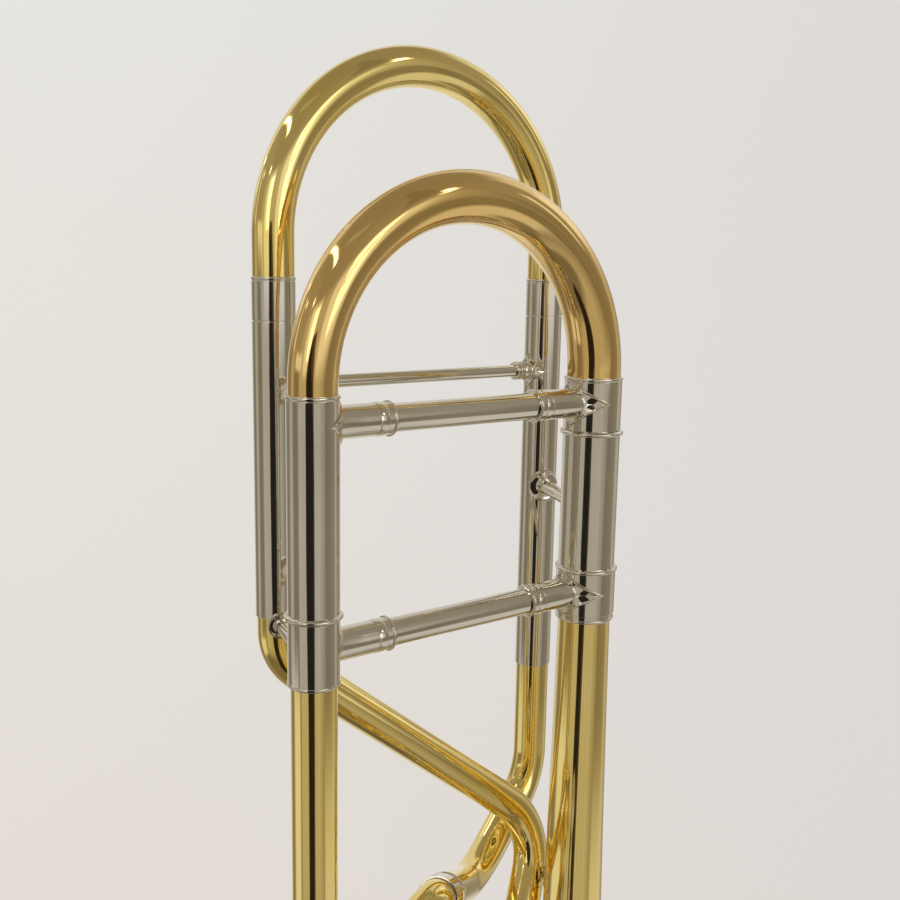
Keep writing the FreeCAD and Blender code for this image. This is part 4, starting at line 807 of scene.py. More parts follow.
def handSlidePieces():
    size = {"barrel": 9.6 * mm, "barrelBore": 8.9 * mm, "inner": 7.2 * mm, "stocking": 7.3 * mm,
            "outer": 8.0 * mm, "outerBore": 7.35 * mm, "bow": 8.4 * mm, "flange": 9.9 * mm,
            "stockingLong": 125 * mm, "grip": 4.8 * mm, "cork": 8.85 * mm}
    low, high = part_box("cork_barrels")
    lip = high.z - 8.5 * mm
    outline = [(size["barrel"], low.z)] + bead(size["barrel"], low.z + 1.4 * mm, 0.5 * mm, 1 * mm)
    outline += bead(size["barrel"], lip - 1 * mm, 1.0 * mm, 1.0 * mm)
    outline += [(size["barrel"], lip + 1 * mm), (size["flange"], lip + 2 * mm),
                (size["flange"], high.z), (size["inner"], high.z), (size["inner"], lip),
                (size["barrelBore"], lip - 2 * mm), (size["barrelBore"], low.z)]
    newPiece("corkBarrels", twoColumns(eased(outline, 0.2 * mm)), "bell_section", "nickelSilver",
             "run", ["cork_barrels"])
    low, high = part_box("inner_slide_tubes")
    stockingTop = low.z + size["stockingLong"]
    outline = [(size["stocking"], low.z), (size["stocking"], stockingTop),
               (size["inner"], stockingTop + 2 * mm), (size["inner"], high.z),
               (size["inner"] - tubeWall, high.z), (size["inner"] - tubeWall, low.z)]
    newPiece("innerSlideTubes", twoColumns(eased(outline, 0.2 * mm)), "bell_section", "platedTube",
             "run", ["inner_slide_tubes"])
    low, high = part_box("barrel_corks")
    newPiece("barrelCorks", twoColumns(sleeve(size["cork"], size["inner"], low.z, high.z)),
             "bell_section", "cork", "cast", ["barrel_corks"])
    low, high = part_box("outer_slide_tubes")
    newPiece("outerSlideTubes", twoColumns(sleeve(size["outer"], size["outerBore"], low.z, high.z)),
             "hand_slide", "yellowBrass", "run", ["outer_slide_tubes"])
    low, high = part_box("bow_ferrules")
    lines = [(low.z + 1.4 * mm, 0.45 * mm, 0.9 * mm), (high.z - 1.4 * mm, 0.45 * mm, 0.9 * mm)]
    newPiece("bowFerrules", twoColumns(sleeve(size["bow"] + 0.45 * mm, size["outer"], low.z, high.z,
                                              lines)), "hand_slide", "nickelSilver", "run",
             ["bow_ferrules"])
    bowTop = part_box("slide_bow")[1].z
    bowZ = low.z
    half = (neckAxis.y - mouthAxis.y) / 2
    centre = Vector((neckAxis.x, -half, bowZ))
    bend = [Vector((p.x, p.y, 2 * bowZ - p.z)) for p in arch(centre, half, north, 2)]
    path = straight(Vector((neckAxis.x, mouthAxis.y, bowTop)), bend[0])[:-1] + bend
    path += straight(bend[-1], Vector((neckAxis.x, neckAxis.y, bowTop)))[1:]
    newPiece("slideBow", [tube(path, size["bow"], tubeWall, 80)], "hand_slide", "yellowBrass", "run",
             ["slide_bow"])
    for name, body, sleeveLong in (("fixed_grip", "bell_section", 16 * mm),
                                   ("moving_grip", "hand_slide", 20 * mm)):
        low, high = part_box(name)
        outer = (high.x - low.x) / 2
        middle = (low.z + high.z) / 2
        bore = outer - 0.8 * mm
        lines = [(middle - sleeveLong / 2 + 1.2 * mm, 0.0005, 0.8 * mm),
                 (middle + sleeveLong / 2 - 1.2 * mm, 0.0005, 0.8 * mm)]
        skin = outer - 0.5 * mm
        shells = twoColumns(sleeve(skin, bore, middle - sleeveLong / 2, middle + sleeveLong / 2, lines))
        end = {"radius": size["grip"] + 0.5 * mm, "long": 9 * mm, "fillet": 1.6 * mm,
               "tube": size["grip"], "rings": [(1.2 * mm, 0.55 * mm, 0.9 * mm)]}
        shells.append(barrelEnd(neckAxis, skin, middle, -north, barrelProfile(end)))
        shells.append(barrelEnd(mouthAxis, skin, middle, north, barrelProfile(end)))
        span = neckAxis.y - mouthAxis.y - 2 * (skin + 6 * mm)
        bar = [(0, 0), (size["grip"], 0), (size["grip"], span), (0, span)]
        shells.append(turned(eased(bar, 0.2 * mm, False),
                             mouthAxis + north * (skin + 6 * mm) + up * middle, north, 72, False))
        newPiece(name + "Bar", shells, body, "nickelSilver", "run", [name])
    print("hand slide done")


def receiverPieces():
    size = {"bore": 8.3 * mm, "neck": 9.9 * mm, "body": 10.6 * mm, "nut": 14.2 * mm,
            "nutBore": 10.0 * mm, "socket": 9.7 * mm, "shankBore": 5.9 * mm}
    low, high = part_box("slide_receiver")
    nutLow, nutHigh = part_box("lock_nut")
    shoulder = nutHigh.z + 0.3 * mm
    outline = [(size["bore"], low.z), (size["neck"], low.z), (size["neck"], shoulder),
               (size["body"], shoulder), (size["body"], high.z - 2.4 * mm)]
    outline += bead(size["body"], high.z - 1.4 * mm, 0.9 * mm, 1.0 * mm)
    outline += [(size["body"], high.z), (size["bore"] + 0.5 * mm, high.z), (size["bore"], high.z - 1 * mm)]
    newPiece("slideReceiver", [turned(eased(outline, 0.2 * mm), neckAxis)], "bell_section",
             "nickelSilver", "spun", ["slide_receiver"])
    nut = [(size["nutBore"], nutLow.z), (size["nut"] - 1.6 * mm, nutLow.z),
           (size["nut"], nutLow.z + 1.2 * mm),
           (size["nut"], nutLow.z + 2.2 * mm), (size["nut"] - 0.7 * mm, nutLow.z + 2.8 * mm),
           (size["nut"] - 0.7 * mm, nutHigh.z - 7.4 * mm), (size["nut"], nutHigh.z - 6.8 * mm),
           (size["nut"], nutHigh.z - 5.8 * mm), (size["nut"] - 2.6 * mm, nutHigh.z - 1.5 * mm),
           (size["nut"] - 2.6 * mm, nutHigh.z), (size["nutBore"], nutHigh.z)]
    newPiece("lockNut", [turned(eased(nut, 0.35 * mm), neckAxis)], "lock_nut", "nickelSilver", "spun",
             ["lock_nut"])
    low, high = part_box("slide_lock_ring")
    ringRadius = (high.x - low.x) / 2 - 0.5 * mm
    outline = [(size["socket"], low.z), (ringRadius - 0.6 * mm, low.z), (ringRadius, low.z + 0.8 * mm),
               (ringRadius, high.z - 0.8 * mm), (ringRadius - 0.6 * mm, high.z),
               (size["socket"], high.z)]
    newPiece("slideLockRing", [turned(eased(outline, 0.25 * mm), mouthAxis)], "slide_lock_ring",
             "nickelSilver", "spun", ["slide_lock_ring"])
    low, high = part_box("mouthpiece_receiver")
    lipRadius = (high.x - low.x) / 2
    outline = [(size["shankBore"], low.z), (size["socket"], low.z), (size["socket"], high.z - 5 * mm)]
    outline += bead(size["socket"], high.z - 3.2 * mm, lipRadius - size["socket"], 1.6 * mm)
    outline += [(size["socket"], high.z - 1 * mm), (9.2 * mm, high.z), (6.75 * mm, high.z)]
    newPiece("mouthpieceReceiver", [turned(eased(outline, 0.25 * mm), mouthAxis)], "bell_section",
             "nickelSilver", "spun", ["mouthpiece_receiver"])
    low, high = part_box("mouthpiece")
    top, tip = high.z, low.z
    cup = smoothLine([(6.02 * mm, tip), (6.6 * mm, tip + 25.5 * mm), (7.2 * mm, tip + 29 * mm),
                      (7.5 * mm, tip + 36 * mm), (8.6 * mm, top - 32 * mm), (12.2 * mm, top - 25 * mm),
                      (16.0 * mm, top - 16 * mm), (17.6 * mm, top - 8 * mm), (18.2 * mm, top - 4 * mm),
                      (18.75 * mm, top - 2.2 * mm), (18.2 * mm, top - 0.6 * mm), (16.2 * mm, top),
                      (14.2 * mm, top - 0.6 * mm), (12.9 * mm, top - 2.6 * mm),
                      (12.0 * mm, top - 8 * mm), (10.2 * mm, top - 14 * mm), (6.2 * mm, top - 20.5 * mm),
                      (3.8 * mm, top - 24 * mm), (3.4 * mm, top - 28 * mm), (4.2 * mm, tip + 14 * mm),
                      (4.6 * mm, tip)])
    newPiece("mouthpieceSilver", [turned(cup, mouthAxis, up, 128)], "mouthpiece", "silverPlate",
             "spun", ["mouthpiece"])
    print("receivers, nut and mouthpiece done")


# --- small cast and bent pieces: the node's own shape with softened edges

def softened(node, name, body, metal, edge):
    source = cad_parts[node]
    mesh = source.data.copy()
    mesh.name = name
    work = bmesh.new()
    work.from_mesh(mesh)
    bmesh.ops.remove_doubles(work, verts=work.verts, dist=1e-6)
    bmesh.ops.dissolve_limit(work, angle_limit=math.radians(0.6), verts=work.verts, edges=work.edges)
    work.to_mesh(mesh)
    work.free()
    piece = bpy.data.objects.new(name, mesh)
    bpy.context.scene.collection.objects.link(piece)
    bevel = piece.modifiers.new("edge", "BEVEL")
    bevel.width, bevel.segments, bevel.limit_method = edge, 3, "ANGLE"
    bevel.angle_limit = math.radians(38)
    settled = bpy.data.meshes.new_from_object(piece.evaluated_get(bpy.context.evaluated_depsgraph_get()))
    piece.modifiers.clear()
    piece.data = settled
    settled.shade_smooth()
    settled.set_sharp_from_angle(angle=math.radians(34))
    return dress(piece, body, metal, "cast", [node])


def smallPieces():
    rows = [("stop_arm", "rotor", "nickelSilver", 0.3), ("link_rod", "link_rod", "nickelSilver", 0.25),
            ("thumb_lever", "thumb_lever", "nickelSilver", 0.3),
            ("lever_saddle", "bell_section", "nickelSilver", 0.3),
            ("lever_pivot_pin", "bell_section", "springSteel", 0.15),
            ("stop_bumpers", "bell_section", "rubber", 0.4),
            ("slide_bumper", "hand_slide", "rubber", 0.8),
            ("key_saddle", "hand_slide", "nickelSilver", 0.25),
            ("key_pin", "hand_slide", "springSteel", 0.15),
            ("water_key", "water_key", "nickelSilver", 0.3), ("key_cork", "water_key", "cork", 0.3)]
    for node, body, metal, edge in rows:
        softened(node, node + "_piece", body, metal, edge * mm)
    for node, metal in (("rotor", "yellowBrass"), ("leadpipe", "yellowBrass")):
        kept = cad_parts[node]
        kept.data.materials.clear()
        kept.data.materials.append(finishes[metal, "cast"])
    print("small pieces done")


# --- what repeats: ribs, screws and springs, as geometry node trees

def closed(tree, make, given, result, shapes):
    # the end that every tree has: instances made real, then the metal
    real = make("GeometryNodeRealizeInstances", {"Geometry": shapes})
    painted = make("GeometryNodeSetMaterial", {"Geometry": real.outputs[0],
                                               "Material": given.outputs["Metal"]})
    tree.links.new(painted.outputs[0], result.inputs[0])
    return tree


def ribTree():
    tree, given, result = newGroup(
        "ribRing", "GeometryNodeTree",
        [("Ring Radius", "NodeSocketFloat", 14 * mm), ("Rib Count", "NodeSocketInt", 48),
         ("Rib Radius", "NodeSocketFloat", 0.5 * mm), ("Rib Length", "NodeSocketFloat", 5 * mm),
         ("Metal", "NodeSocketMaterial", None)], [("Geometry", "NodeSocketGeometry")])
    make = nodeMaker(tree)
    circle = make("GeometryNodeMeshCircle", {"Vertices": given.outputs["Rib Count"],
                                             "Radius": given.outputs["Ring Radius"]})
    rib = make("GeometryNodeMeshCylinder", {"Vertices": 8, "Radius": given.outputs["Rib Radius"],
                                            "Depth": given.outputs["Rib Length"]})
    ribs = make("GeometryNodeInstanceOnPoints", {"Points": circle.outputs[0],
                                                 "Instance": rib.outputs["Mesh"]})
    return closed(tree, make, given, result, ribs.outputs[0])


def springTree():
    tree, given, result = newGroup(
        "coilSpring", "GeometryNodeTree",
        [("Coil Radius", "NodeSocketFloat", 4.6 * mm), ("Turns", "NodeSocketFloat", 4.0),
         ("Spring Length", "NodeSocketFloat", 3.4 * mm), ("Wire Radius", "NodeSocketFloat", 0.4 * mm),
         ("Metal", "NodeSocketMaterial", None)], [("Geometry", "NodeSocketGeometry")])
    make = nodeMaker(tree)
    coil = make("GeometryNodeCurveSpiral", {"Resolution": 40, "Rotations": given.outputs["Turns"],
                                            "Start Radius": given.outputs["Coil Radius"],
                                            "End Radius": given.outputs["Coil Radius"],
                                            "Height": given.outputs["Spring Length"]})
    section = make("GeometryNodeCurvePrimitiveCircle", {"Resolution": 12,
                                                        "Radius": given.outputs["Wire Radius"]})
    wire = make("GeometryNodeCurveToMesh", {"Curve": coil.outputs[0], "Profile Curve": section.outputs[0],
                                            "Fill Caps": True})
    return closed(tree, make, given, result, wire.outputs[0])


def screwTree():
    tree, given, result = newGroup(
        "slottedScrews", "GeometryNodeTree",
        [("Ring Radius", "NodeSocketFloat", 14 * mm), ("Screw Count", "NodeSocketInt", 4),
         ("Head Radius", "NodeSocketFloat", 1.6 * mm), ("Head Height", "NodeSocketFloat", 1 * mm),
         ("Metal", "NodeSocketMaterial", None)], [("Geometry", "NodeSocketGeometry")])
    make = nodeMaker(tree)
    circle = make("GeometryNodeMeshCircle", {"Vertices": given.outputs["Screw Count"],
                                             "Radius": given.outputs["Ring Radius"]})
    shank = make("GeometryNodeMeshCylinder", {"Vertices": 32, "Radius": given.outputs["Head Radius"],
                                              "Depth": given.outputs["Head Height"]})
    twice = make("ShaderNodeMath", {0: given.outputs["Head Radius"], 1: 3.0}, operation="MULTIPLY")
    width = make("ShaderNodeMath", {0: given.outputs["Head Radius"], 1: 0.32}, operation="MULTIPLY")
    slotSize = make("ShaderNodeCombineXYZ", {0: twice.outputs[0], 1: width.outputs[0],
                                             2: given.outputs["Head Height"]})
    lift = make("ShaderNodeMath", {0: given.outputs["Head Height"], 1: 0.6}, operation="MULTIPLY")
    raised = make("ShaderNodeCombineXYZ", {2: lift.outputs[0]})
    blade = make("GeometryNodeMeshCube", {"Size": slotSize.outputs[0]})
    lifted = make("GeometryNodeTransform", {"Geometry": blade.outputs["Mesh"],
                                            "Translation": raised.outputs[0]})
    head = make("GeometryNodeMeshBoolean", {"Mesh 1": shank.outputs["Mesh"]}, operation="DIFFERENCE")
    tree.links.new(lifted.outputs[0], head.inputs["Mesh 2"])
    heads = make("GeometryNodeInstanceOnPoints", {"Points": circle.outputs[0],
                                                  "Instance": head.outputs["Mesh"]})
    return closed(tree, make, given, result, heads.outputs[0])


def fromTree(name, tree, values, origin, axis, body, metal, replaced=()):
    # a tree's result as a plain mesh, laid along an axis
    holder = bpy.data.objects.new(name, bpy.data.meshes.new(name + "Start"))
    bpy.context.scene.collection.objects.link(holder)
    modifier = holder.modifiers.new("shape", "NODES")
    modifier.node_group = tree
    values = dict(values, Metal=finishes[metal, "cast"])
    for item in tree.interface.items_tree:
        if item.in_out == "INPUT" and item.name in values:
            modifier[item.identifier] = values[item.name]
    holder.update_tag()
    mesh = bpy.data.meshes.new_from_object(holder.evaluated_get(bpy.context.evaluated_depsgraph_get()))
    holder.modifiers.clear()
    holder.data = mesh
    axis, side, top = sideAxes(axis)
    turn = Matrix((side, top, axis)).transposed().to_4x4()
    mesh.transform(Matrix.Translation(origin) @ turn)
    mesh.shade_smooth()
    mesh.set_sharp_from_angle(angle=math.radians(34))
    return dress(holder, body, metal, "cast", replaced)


def repeatedPieces():
    size = {"nutRibs": 7.6 * mm, "capRibs": 22.8 * mm, "plateHeads": 23.4 * mm,
            "armHead": 7.2 * mm, "leverGap": 0.3 * mm, "keyGap": 1.2 * mm}
    ribs, springs, screws = ribTree(), springTree(), screwTree()
    south = -north
    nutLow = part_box("lock_nut")[0]
    fromTree("lockNutRibs", ribs, {"Ring Radius": 13.55 * mm, "Rib Count": 40, "Rib Radius": 0.75 * mm,
                                   "Rib Length": 9 * mm},
             neckAxis + up * (nutLow.z + size["nutRibs"]), up, "lock_nut", "nickelSilver")
    capMiddle = valve + north * size["capRibs"]
    fromTree("valveCapRibs", ribs, {"Ring Radius": 21.3 * mm, "Rib Count": 72, "Rib Radius": 0.5 * mm,
                                    "Rib Length": 3.6 * mm}, capMiddle, north, "bell_section",
             "nickelSilver")
    low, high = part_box("slide_lock_ring")
    fromTree("slideLockRibs", ribs, {"Ring Radius": (high.x - low.x) / 2 - 0.5 * mm, "Rib Count": 56,
                                     "Rib Radius": 0.5 * mm, "Rib Length": 4.6 * mm},
             mouthAxis + up * (low.z + high.z) / 2, up, "slide_lock_ring", "nickelSilver")
    low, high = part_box("lever_spring")
    middle = (low + high) / 2
    fromTree("leverCoil", springs, {"Coil Radius": 4.55 * mm, "Turns": 4.0, "Spring Length": 3.2 * mm,
                                    "Wire Radius": 0.4 * mm},
             Vector((middle.x, low.y + size["leverGap"], middle.z)), north, "bell_section",
             "springSteel", ["lever_spring"])
    low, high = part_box("key_pin")
    pin = (low + high) / 2
    fromTree("keyCoil", springs, {"Coil Radius": 3.4 * mm, "Turns": 3.0, "Spring Length": 2.4 * mm,
                                  "Wire Radius": 0.3 * mm}, pin - east * size["keyGap"], east, "hand_slide",
             "springSteel")
    fromTree("bearingScrews", screws, {"Ring Radius": 14.6 * mm, "Screw Count": 4,
                                       "Head Radius": 1.8 * mm, "Head Height": 1.4 * mm},
             valve - north * size["plateHeads"], south, "bell_section", "springSteel")
    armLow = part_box("stop_arm")[0]
    fromTree("armScrew", screws, {"Ring Radius": 0.01 * mm, "Screw Count": 3, "Head Radius": 3.6 * mm,
                                  "Head Height": 1.6 * mm},
             Vector((valve.x, armLow.y + size["armHead"], valve.z)), south, "rotor", "springSteel")
    print("ribs, springs and screws done")


valvePieces()
handSlidePieces()
receiverPieces()
smallPieces()
repeatedPieces()


# --- studio: pale sweep, soft room and a few small lamps

def roomPatchGroup():
    # one soft-edged patch of wall, window or ceiling light on the room round the instrument
    group, given, result = newGroup(
        "roomPatch", "ShaderNodeTree",
        [("Room", "NodeSocketColor", None), ("Bearing", "NodeSocketFloat", None),
         ("Height", "NodeSocketFloat", None), ("Paint", "NodeSocketColor", (1, 1, 1, 1)),
         ("Centre Bearing", "NodeSocketFloat", 0.0), ("Centre Height", "NodeSocketFloat", 0.0),
         ("Half Width", "NodeSocketFloat", 10.0), ("Half Height", "NodeSocketFloat", 10.0),
         ("Softness", "NodeSocketFloat", 3.0)], [("Room", "NodeSocketColor")])
    make = nodeMaker(group)
    masks = []
    for seen, centre, half in (("Bearing", "Centre Bearing", "Half Width"),
                               ("Height", "Centre Height", "Half Height")):
        apart = make("ShaderNodeMath", {0: given.outputs[seen], 1: given.outputs[centre]},
                     operation="SUBTRACT")
        far = make("ShaderNodeMath", {0: apart.outputs[0]}, operation="ABSOLUTE")
        inner = make("ShaderNodeMath", {0: given.outputs[half], 1: given.outputs["Softness"]},
                     operation="SUBTRACT")
        outer = make("ShaderNodeMath", {0: given.outputs[half], 1: given.outputs["Softness"]},
                     operation="ADD")
        masks.append(make("ShaderNodeMapRange", {"Value": far.outputs[0], "From Min": inner.outputs[0],
                                                 "From Max": outer.outputs[0], "To Min": 1.0,
                                                 "To Max": 0.0}, interpolation_type="SMOOTHSTEP"))
    mask = make("ShaderNodeMath", {0: masks[0].outputs[0], 1: masks[1].outputs[0]},
                operation="MULTIPLY")
    painted = make("ShaderNodeMix", {"Factor": mask.outputs[0], "A": given.outputs["Room"],
                                     "B": given.outputs["Paint"]}, data_type="RGBA")
    fill(group, result, Room=painted.outputs["Result"])
    return group


def greyTone(level):
    # darker parts of the room are warmer
    warm = 1 - min(max((level - 0.3) / 0.5, 0), 1)
    return level, level * (0.98 - 0.10 * warm), level * (0.95 - 0.28 * warm), 1


def studioWorld():
    behind = 217.0
    horizon = [(-179, 0.80), (-160, 0.66), (-150, 0.26), (-140, 0.42), (-116, 0.54), (-104, 0.30),
               (-62, 0.24), (-54, 0.40), (-28, 0.54), (12, 0.50), (54, 0.52), (60, 0.27), (80, 0.23),
               (90, 0.50), (104, 0.50), (110, 0.26), (128, 0.28), (142, 0.58), (162, 0.78), (179, 0.80)]
    # paint level, centre bearing, centre height, half width, half height, softness
    patches = [(0.66, -92, -40, 32, 13, 5), (0.20, 32, -58, 68, 20, 8), (0.15, 0, -86, 400, 14, 8),
               (0.76, 82, -30, 18, 8, 2.5), (0.32, 0, 62, 400, 42, 8), (0.34, -75, 30, 55, 16, 6),
               (0.36, 95, 24, 42, 18, 4), (0.72, 150, 28, 34, 20, 7), (0.72, -150, 30, 34, 18, 7),
               (0.30, 0, 84, 400, 26, 9), (0.24, -60, 56, 8, 20, 2), (0.42, 20, 62, 26, 3, 1.5),
               (0.95, -130, 26, 16, 8, 3), (0.48, -8, 14, 66, 13, 6), (0.80, 64, 4, 16, 3.5, 1.5),
               (0.85, -42, 10, 25, 14, 4), (1.9, -48, 13, 11, 11, 1.5), (0.85, 26, 13, 15, 15, 3),
               (2.0, 21, 15, 7.5, 11, 1.2), (0.35, 21, 15, 0.6, 12, 0.4), (0.45, -49, 14, 12, 0.7, 0.4),
               (0.9, -95, 20, 3, 9, 0.8), (1.1, 100, 16, 2, 10, 0.8), (1.2, 128, 20, 2.5, 8, 0.8),
               (5.0, -71, 36, 1.7, 3.6, 1.0), (3.0, 52, 31, 2.2, 1.6, 0.8), (3.0, 88, 26, 1.6, 1.3, 0.6),
               (3.0, 118, 24, 1.6, 1.3, 0.6), (3.0, -69, 30, 1.3, 1.2, 0.6)]
    world = bpy.data.worlds.new("studio")
    bpy.context.scene.world = world
    world.use_nodes = True
    tree = world.node_tree
    tree.nodes.clear()
    make = nodeMaker(tree)
    looking = make("ShaderNodeTexCoord").outputs["Generated"]
    direction = make("ShaderNodeSeparateXYZ", {0: looking})
    compass = make("ShaderNodeMath", {0: direction.outputs["X"], 1: direction.outputs["Y"]},
                   operation="ARCTAN2")
    offset = make("ShaderNodeMath", {0: compass.outputs[0], 1: math.radians(180 - behind + 360)},
                  operation="ADD")
    share = make("ShaderNodeMath", {0: offset.outputs[0], 1: 2 * math.pi}, operation="DIVIDE")
    around = make("ShaderNodeMath", {0: share.outputs[0]}, operation="FRACT")
    bearing = make("ShaderNodeMath", {0: around.outputs[0], 1: 360.0, 2: -180.0},
                   operation="MULTIPLY_ADD").outputs[0]
    rise = make("ShaderNodeMath", {0: direction.outputs["Z"]}, operation="ARCSINE")
    height = make("ShaderNodeMath", {0: rise.outputs[0]}, operation="DEGREES").outputs[0]
    # thin upright streaks: door frames, folds and edges round the room
    spread = make("ShaderNodeCombineXYZ", {"X": bearing, "Y": rise.outputs[0]})
    streaks = make("ShaderNodeTexNoise", {"Vector": spread.outputs[0], "Scale": 0.30, "Detail": 5.0,
                                          "Roughness": 0.7})
    shade = make("ShaderNodeMapRange", {"Value": streaks.outputs["Fac"], "From Min": 0.3,
                                        "From Max": 0.7, "To Min": 0.70, "To Max": 1.22})
    ramp = make("ShaderNodeValToRGB", {"Fac": around.outputs[0]})
    elements = ramp.color_ramp.elements
    for index, (degrees, level) in enumerate(horizon):
        spot = (degrees + 180) / 360
        element = elements[index] if index < 2 else elements.new(spot)
        element.position = spot
        element.color = greyTone(level)
    streaked = make("ShaderNodeVectorMath", {0: ramp.outputs["Color"], "Scale": shade.outputs[0]},
                    operation="SCALE")
    room = streaked.outputs[0]
    roomPatch = roomPatchGroup()
    for level, aside, above, wide, tall, soft in patches:
        patch = make("ShaderNodeGroup", node_tree=roomPatch)
        fill(tree, patch, Room=room, Bearing=bearing, Height=height)
        patch.inputs["Paint"].default_value = greyTone(level)
        patch.inputs["Centre Bearing"].default_value = aside
        patch.inputs["Centre Height"].default_value = above
        patch.inputs["Half Width"].default_value = wide
        patch.inputs["Half Height"].default_value = tall
        patch.inputs["Softness"].default_value = soft
        room = patch.outputs[0]
    # a long ceiling tube: a straight line that climbs and falls again as it passes
    ends = [Vector((math.sin(math.radians(behind + b)) * math.cos(math.radians(h)),
                    math.cos(math.radians(behind + b)) * math.cos(math.radians(h)),
                    math.sin(math.radians(h)))) for b, h in ((22, 44), (122, 37))]
    normal = ends[0].cross(ends[1]).normalized()
    middle = (ends[0] + ends[1]).normalized()
    facing = make("ShaderNodeVectorMath", {0: looking, 1: normal}, operation="DOT_PRODUCT")
    off = make("ShaderNodeMath", {0: facing.outputs["Value"]}, operation="ABSOLUTE")
    thin = make("ShaderNodeMapRange", {"Value": off.outputs[0], "From Min": 0.016, "From Max": 0.030,
                                       "To Min": 1.0, "To Max": 0.0})
    near = make("ShaderNodeVectorMath", {0: looking, 1: middle}, operation="DOT_PRODUCT")
    within = make("ShaderNodeMapRange", {"Value": near.outputs["Value"], "From Min": 0.86,
                                         "From Max": 0.90})
    lit = make("ShaderNodeMath", {0: thin.outputs[0], 1: within.outputs[0]}, operation="MULTIPLY")
    tubeLight = make("ShaderNodeMix", {"Factor": lit.outputs[0], "A": room, "B": (4.0, 4.0, 3.8, 1)},
                     data_type="RGBA")
    mirrored = make("ShaderNodeBackground", {"Color": tubeLight.outputs["Result"], "Strength": 1.0})
    fade = make("ShaderNodeMapRange", {"Value": direction.outputs["Z"], "From Min": -0.6,
                                       "From Max": 0.3})
    left = make("ShaderNodeMix", {"Factor": fade.outputs[0], "A": (0.775, 0.715, 0.672, 1),
                                  "B": (0.800, 0.790, 0.750, 1)}, data_type="RGBA")
    right = make("ShaderNodeMix", {"Factor": fade.outputs[0], "A": (0.730, 0.690, 0.655, 1),
                                   "B": (0.735, 0.715, 0.685, 1)}, data_type="RGBA")
    across = make("ShaderNodeVectorMath", {0: looking, 1: (0.799, -0.601, 0.0)},
                  operation="DOT_PRODUCT")
    side = make("ShaderNodeMapRange", {"Value": across.outputs["Value"], "From Min": -0.35,
                                       "From Max": 0.35})
    wall = make("ShaderNodeMix", {"Factor": side.outputs[0], "A": left.outputs["Result"],
                                  "B": right.outputs["Result"]}, data_type="RGBA")
    pale = make("ShaderNodeBackground", {"Color": wall.outputs["Result"], "Strength": 1.0})
    path = make("ShaderNodeLightPath")
    shown = make("ShaderNodeMath", {0: path.outputs["Is Camera Ray"], 1: path.outputs["Is Diffuse Ray"]},
                 operation="MAXIMUM")
    mix = make("ShaderNodeMixShader", {0: shown.outputs[0], 1: mirrored.outputs[0], 2: pale.outputs[0]})
    tree.links.new(mix.outputs[0], make("ShaderNodeOutputWorld").inputs["Surface"])


def studioFloor():
    # low enough for the hand slide at its full run
    size = {"radius": 3.0, "clear": 0.7, "gone": 2.2, "slideRun": 0.58, "spare": 0.02}
    mesh = bpy.data.meshes.new("floor")
    angles = np.linspace(0, 2 * math.pi, 64, endpoint=False)
    low = cadBox[0].z - size["slideRun"] - size["spare"]
    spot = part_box("slide_bumper")[0]
    mesh.from_pydata([(spot.x + size["radius"] * math.cos(a), spot.y + size["radius"] * math.sin(a), low)
                      for a in angles], [], [tuple(range(64))])
    floor = bpy.data.objects.new("floor", mesh)
    bpy.context.scene.collection.objects.link(floor)
    material = bpy.data.materials.new("paleFloor")
    material.use_nodes = True
    tree = material.node_tree
    make = nodeMaker(tree)
    shader = tree.nodes["Principled BSDF"]
    shader.inputs["Roughness"].default_value = 0.9
    place = make("ShaderNodeTexCoord").outputs["Object"]
    grain = make("ShaderNodeTexNoise", {"Vector": place, "Scale": 260.0, "Detail": 3.0})
    tone = make("ShaderNodeMix", {"Factor": grain.outputs["Fac"], "A": (0.90, 0.88, 0.86, 1),
                                  "B": (0.94, 0.92, 0.90, 1)}, data_type="RGBA")
    centred = make("ShaderNodeVectorMath", {0: place, 1: (spot.x, spot.y, low)}, operation="SUBTRACT")
    far = make("ShaderNodeVectorMath", {0: centred.outputs[0]}, operation="LENGTH")
    kept = make("ShaderNodeMapRange", {"Value": far.outputs["Value"], "From Min": size["clear"],
                                       "From Max": size["gone"], "To Min": 1.0, "To Max": 0.0},
                interpolation_type="SMOOTHSTEP")
    fill(tree, shader, **{"Base Color": tone.outputs["Result"], "Alpha": kept.outputs[0]})
    mesh.materials.append(material)
    floor.visible_glossy = False


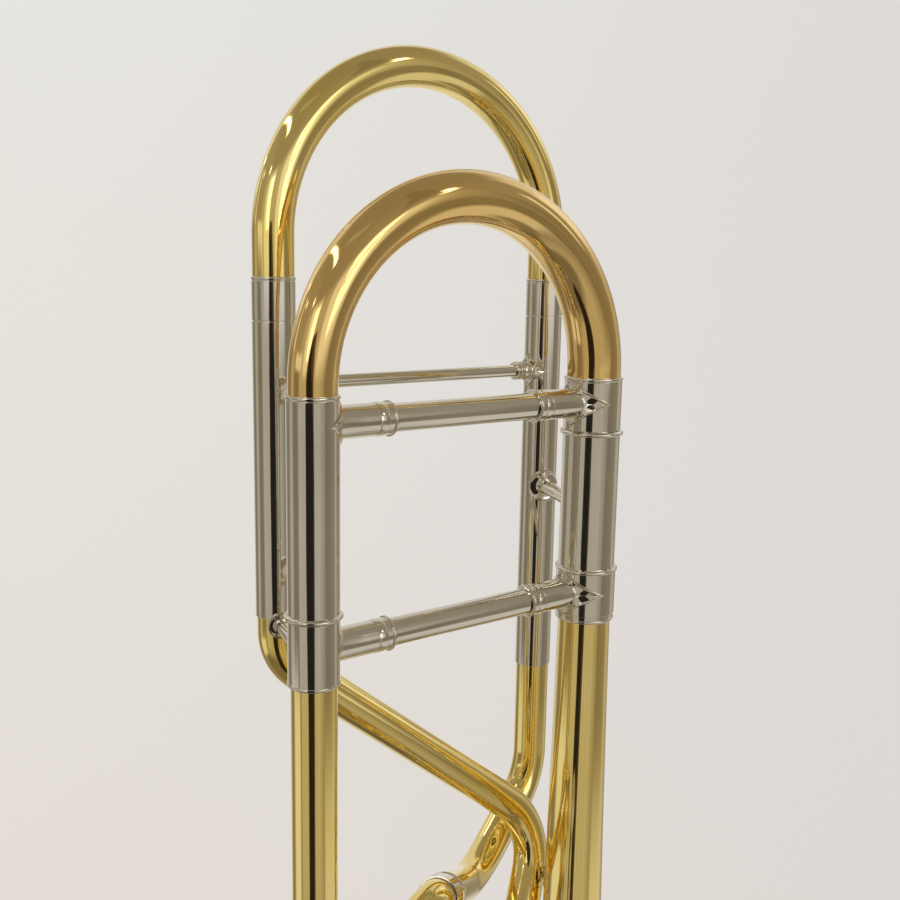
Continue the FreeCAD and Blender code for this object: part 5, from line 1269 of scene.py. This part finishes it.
def studioLamps(cameraSpot, cameraSide):
    aim = Vector((-0.06, 0, 0.3))
    rows = [("lampKey", (-1.3, -1.1, 2.2), 0.9, 16), ("lampFill", (1.2, -0.6, 1.9), 1.2, 9)]
    for name, spot, width, power in rows:
        light = bpy.data.lights.new(name, "AREA")
        light.shape, light.size, light.energy = "DISK", width, power
        light.color = (1.0, 0.97, 0.93)
        lamp = bpy.data.objects.new(name, light)
        lamp.location = spot
        lamp.rotation_euler = (aim - Vector(spot)).to_track_quat("-Z", "Y").to_euler()
        lamp.visible_glossy = False
        bpy.context.scene.collection.objects.link(lamp)
    # two dark cloths beside the camera, seen only in the polish
    rows = [("flagBlack", 0.0, (0.012, 0.010, 0.010, 1),
             [(-0.15, 0.0), (-0.02, 0.0), (-0.02, 0.28), (0.0, 0.40), (0.0, 0.53), (-0.06, 0.60),
              (-0.08, 0.66), (-0.13, 0.66), (-0.15, 0.60), (-0.19, 0.53), (-0.19, 0.40), (-0.15, 0.28)]),
            ("flagBrown", -0.03, (0.10, 0.065, 0.045, 1),
             [(-0.18, 0.0), (0.01, 0.0), (0.025, 0.30), (0.035, 0.45), (0.01, 0.60), (-0.04, 0.70),
              (-0.14, 0.70), (-0.20, 0.58), (-0.215, 0.45), (-0.18, 0.30)])]
    for name, back, colour, outline in rows:
        away = up.cross(cameraSide) * -back
        mesh = bpy.data.meshes.new(name)
        mesh.from_pydata([(*(cameraSpot + cameraSide * x - away).xy, z) for x, z in outline], [],
                         [tuple(range(len(outline)))])
        card = bpy.data.objects.new(name, mesh)
        bpy.context.scene.collection.objects.link(card)
        cloth = bpy.data.materials.new(name + "Cloth")
        cloth.use_nodes = True
        shader = cloth.node_tree.nodes["Principled BSDF"]
        shader.inputs["Base Color"].default_value = colour
        shader.inputs["Roughness"].default_value = 0.9
        mesh.materials.append(cloth)
        card.visible_camera = card.visible_diffuse = card.visible_shadow = False


def studioCamera():
    view = {"spot": (-0.3037, -0.3066, 0.6355), "yaw": 36.96, "pitch": 9.92, "roll": 1.04,
            "lens": 41.87}
    yaw, pitch, roll = (math.radians(view[key]) for key in ("yaw", "pitch", "roll"))
    forward = Vector((math.sin(yaw) * math.cos(pitch), math.cos(yaw) * math.cos(pitch), -math.sin(pitch)))
    level = forward.cross(up).normalized()
    upright = level.cross(forward)
    right = level * math.cos(roll) + upright * math.sin(roll)
    top = upright * math.cos(roll) - level * math.sin(roll)
    data = bpy.data.cameras.new("camera")
    data.lens, data.sensor_width = view["lens"], 36.0
    data.clip_start = 0.01
    camera = bpy.data.objects.new("camera", data)
    turn = Matrix((right, top, -forward)).transposed().to_4x4()
    camera.matrix_world = Matrix.Translation(view["spot"]) @ turn
    bpy.context.scene.collection.objects.link(camera)
    bpy.context.scene.camera = camera
    return Vector(view["spot"]), right


studioWorld()
studioFloor()
studioLamps(*studioCamera())
bpy.context.scene.view_settings.view_transform = "Standard"
print("studio ready")
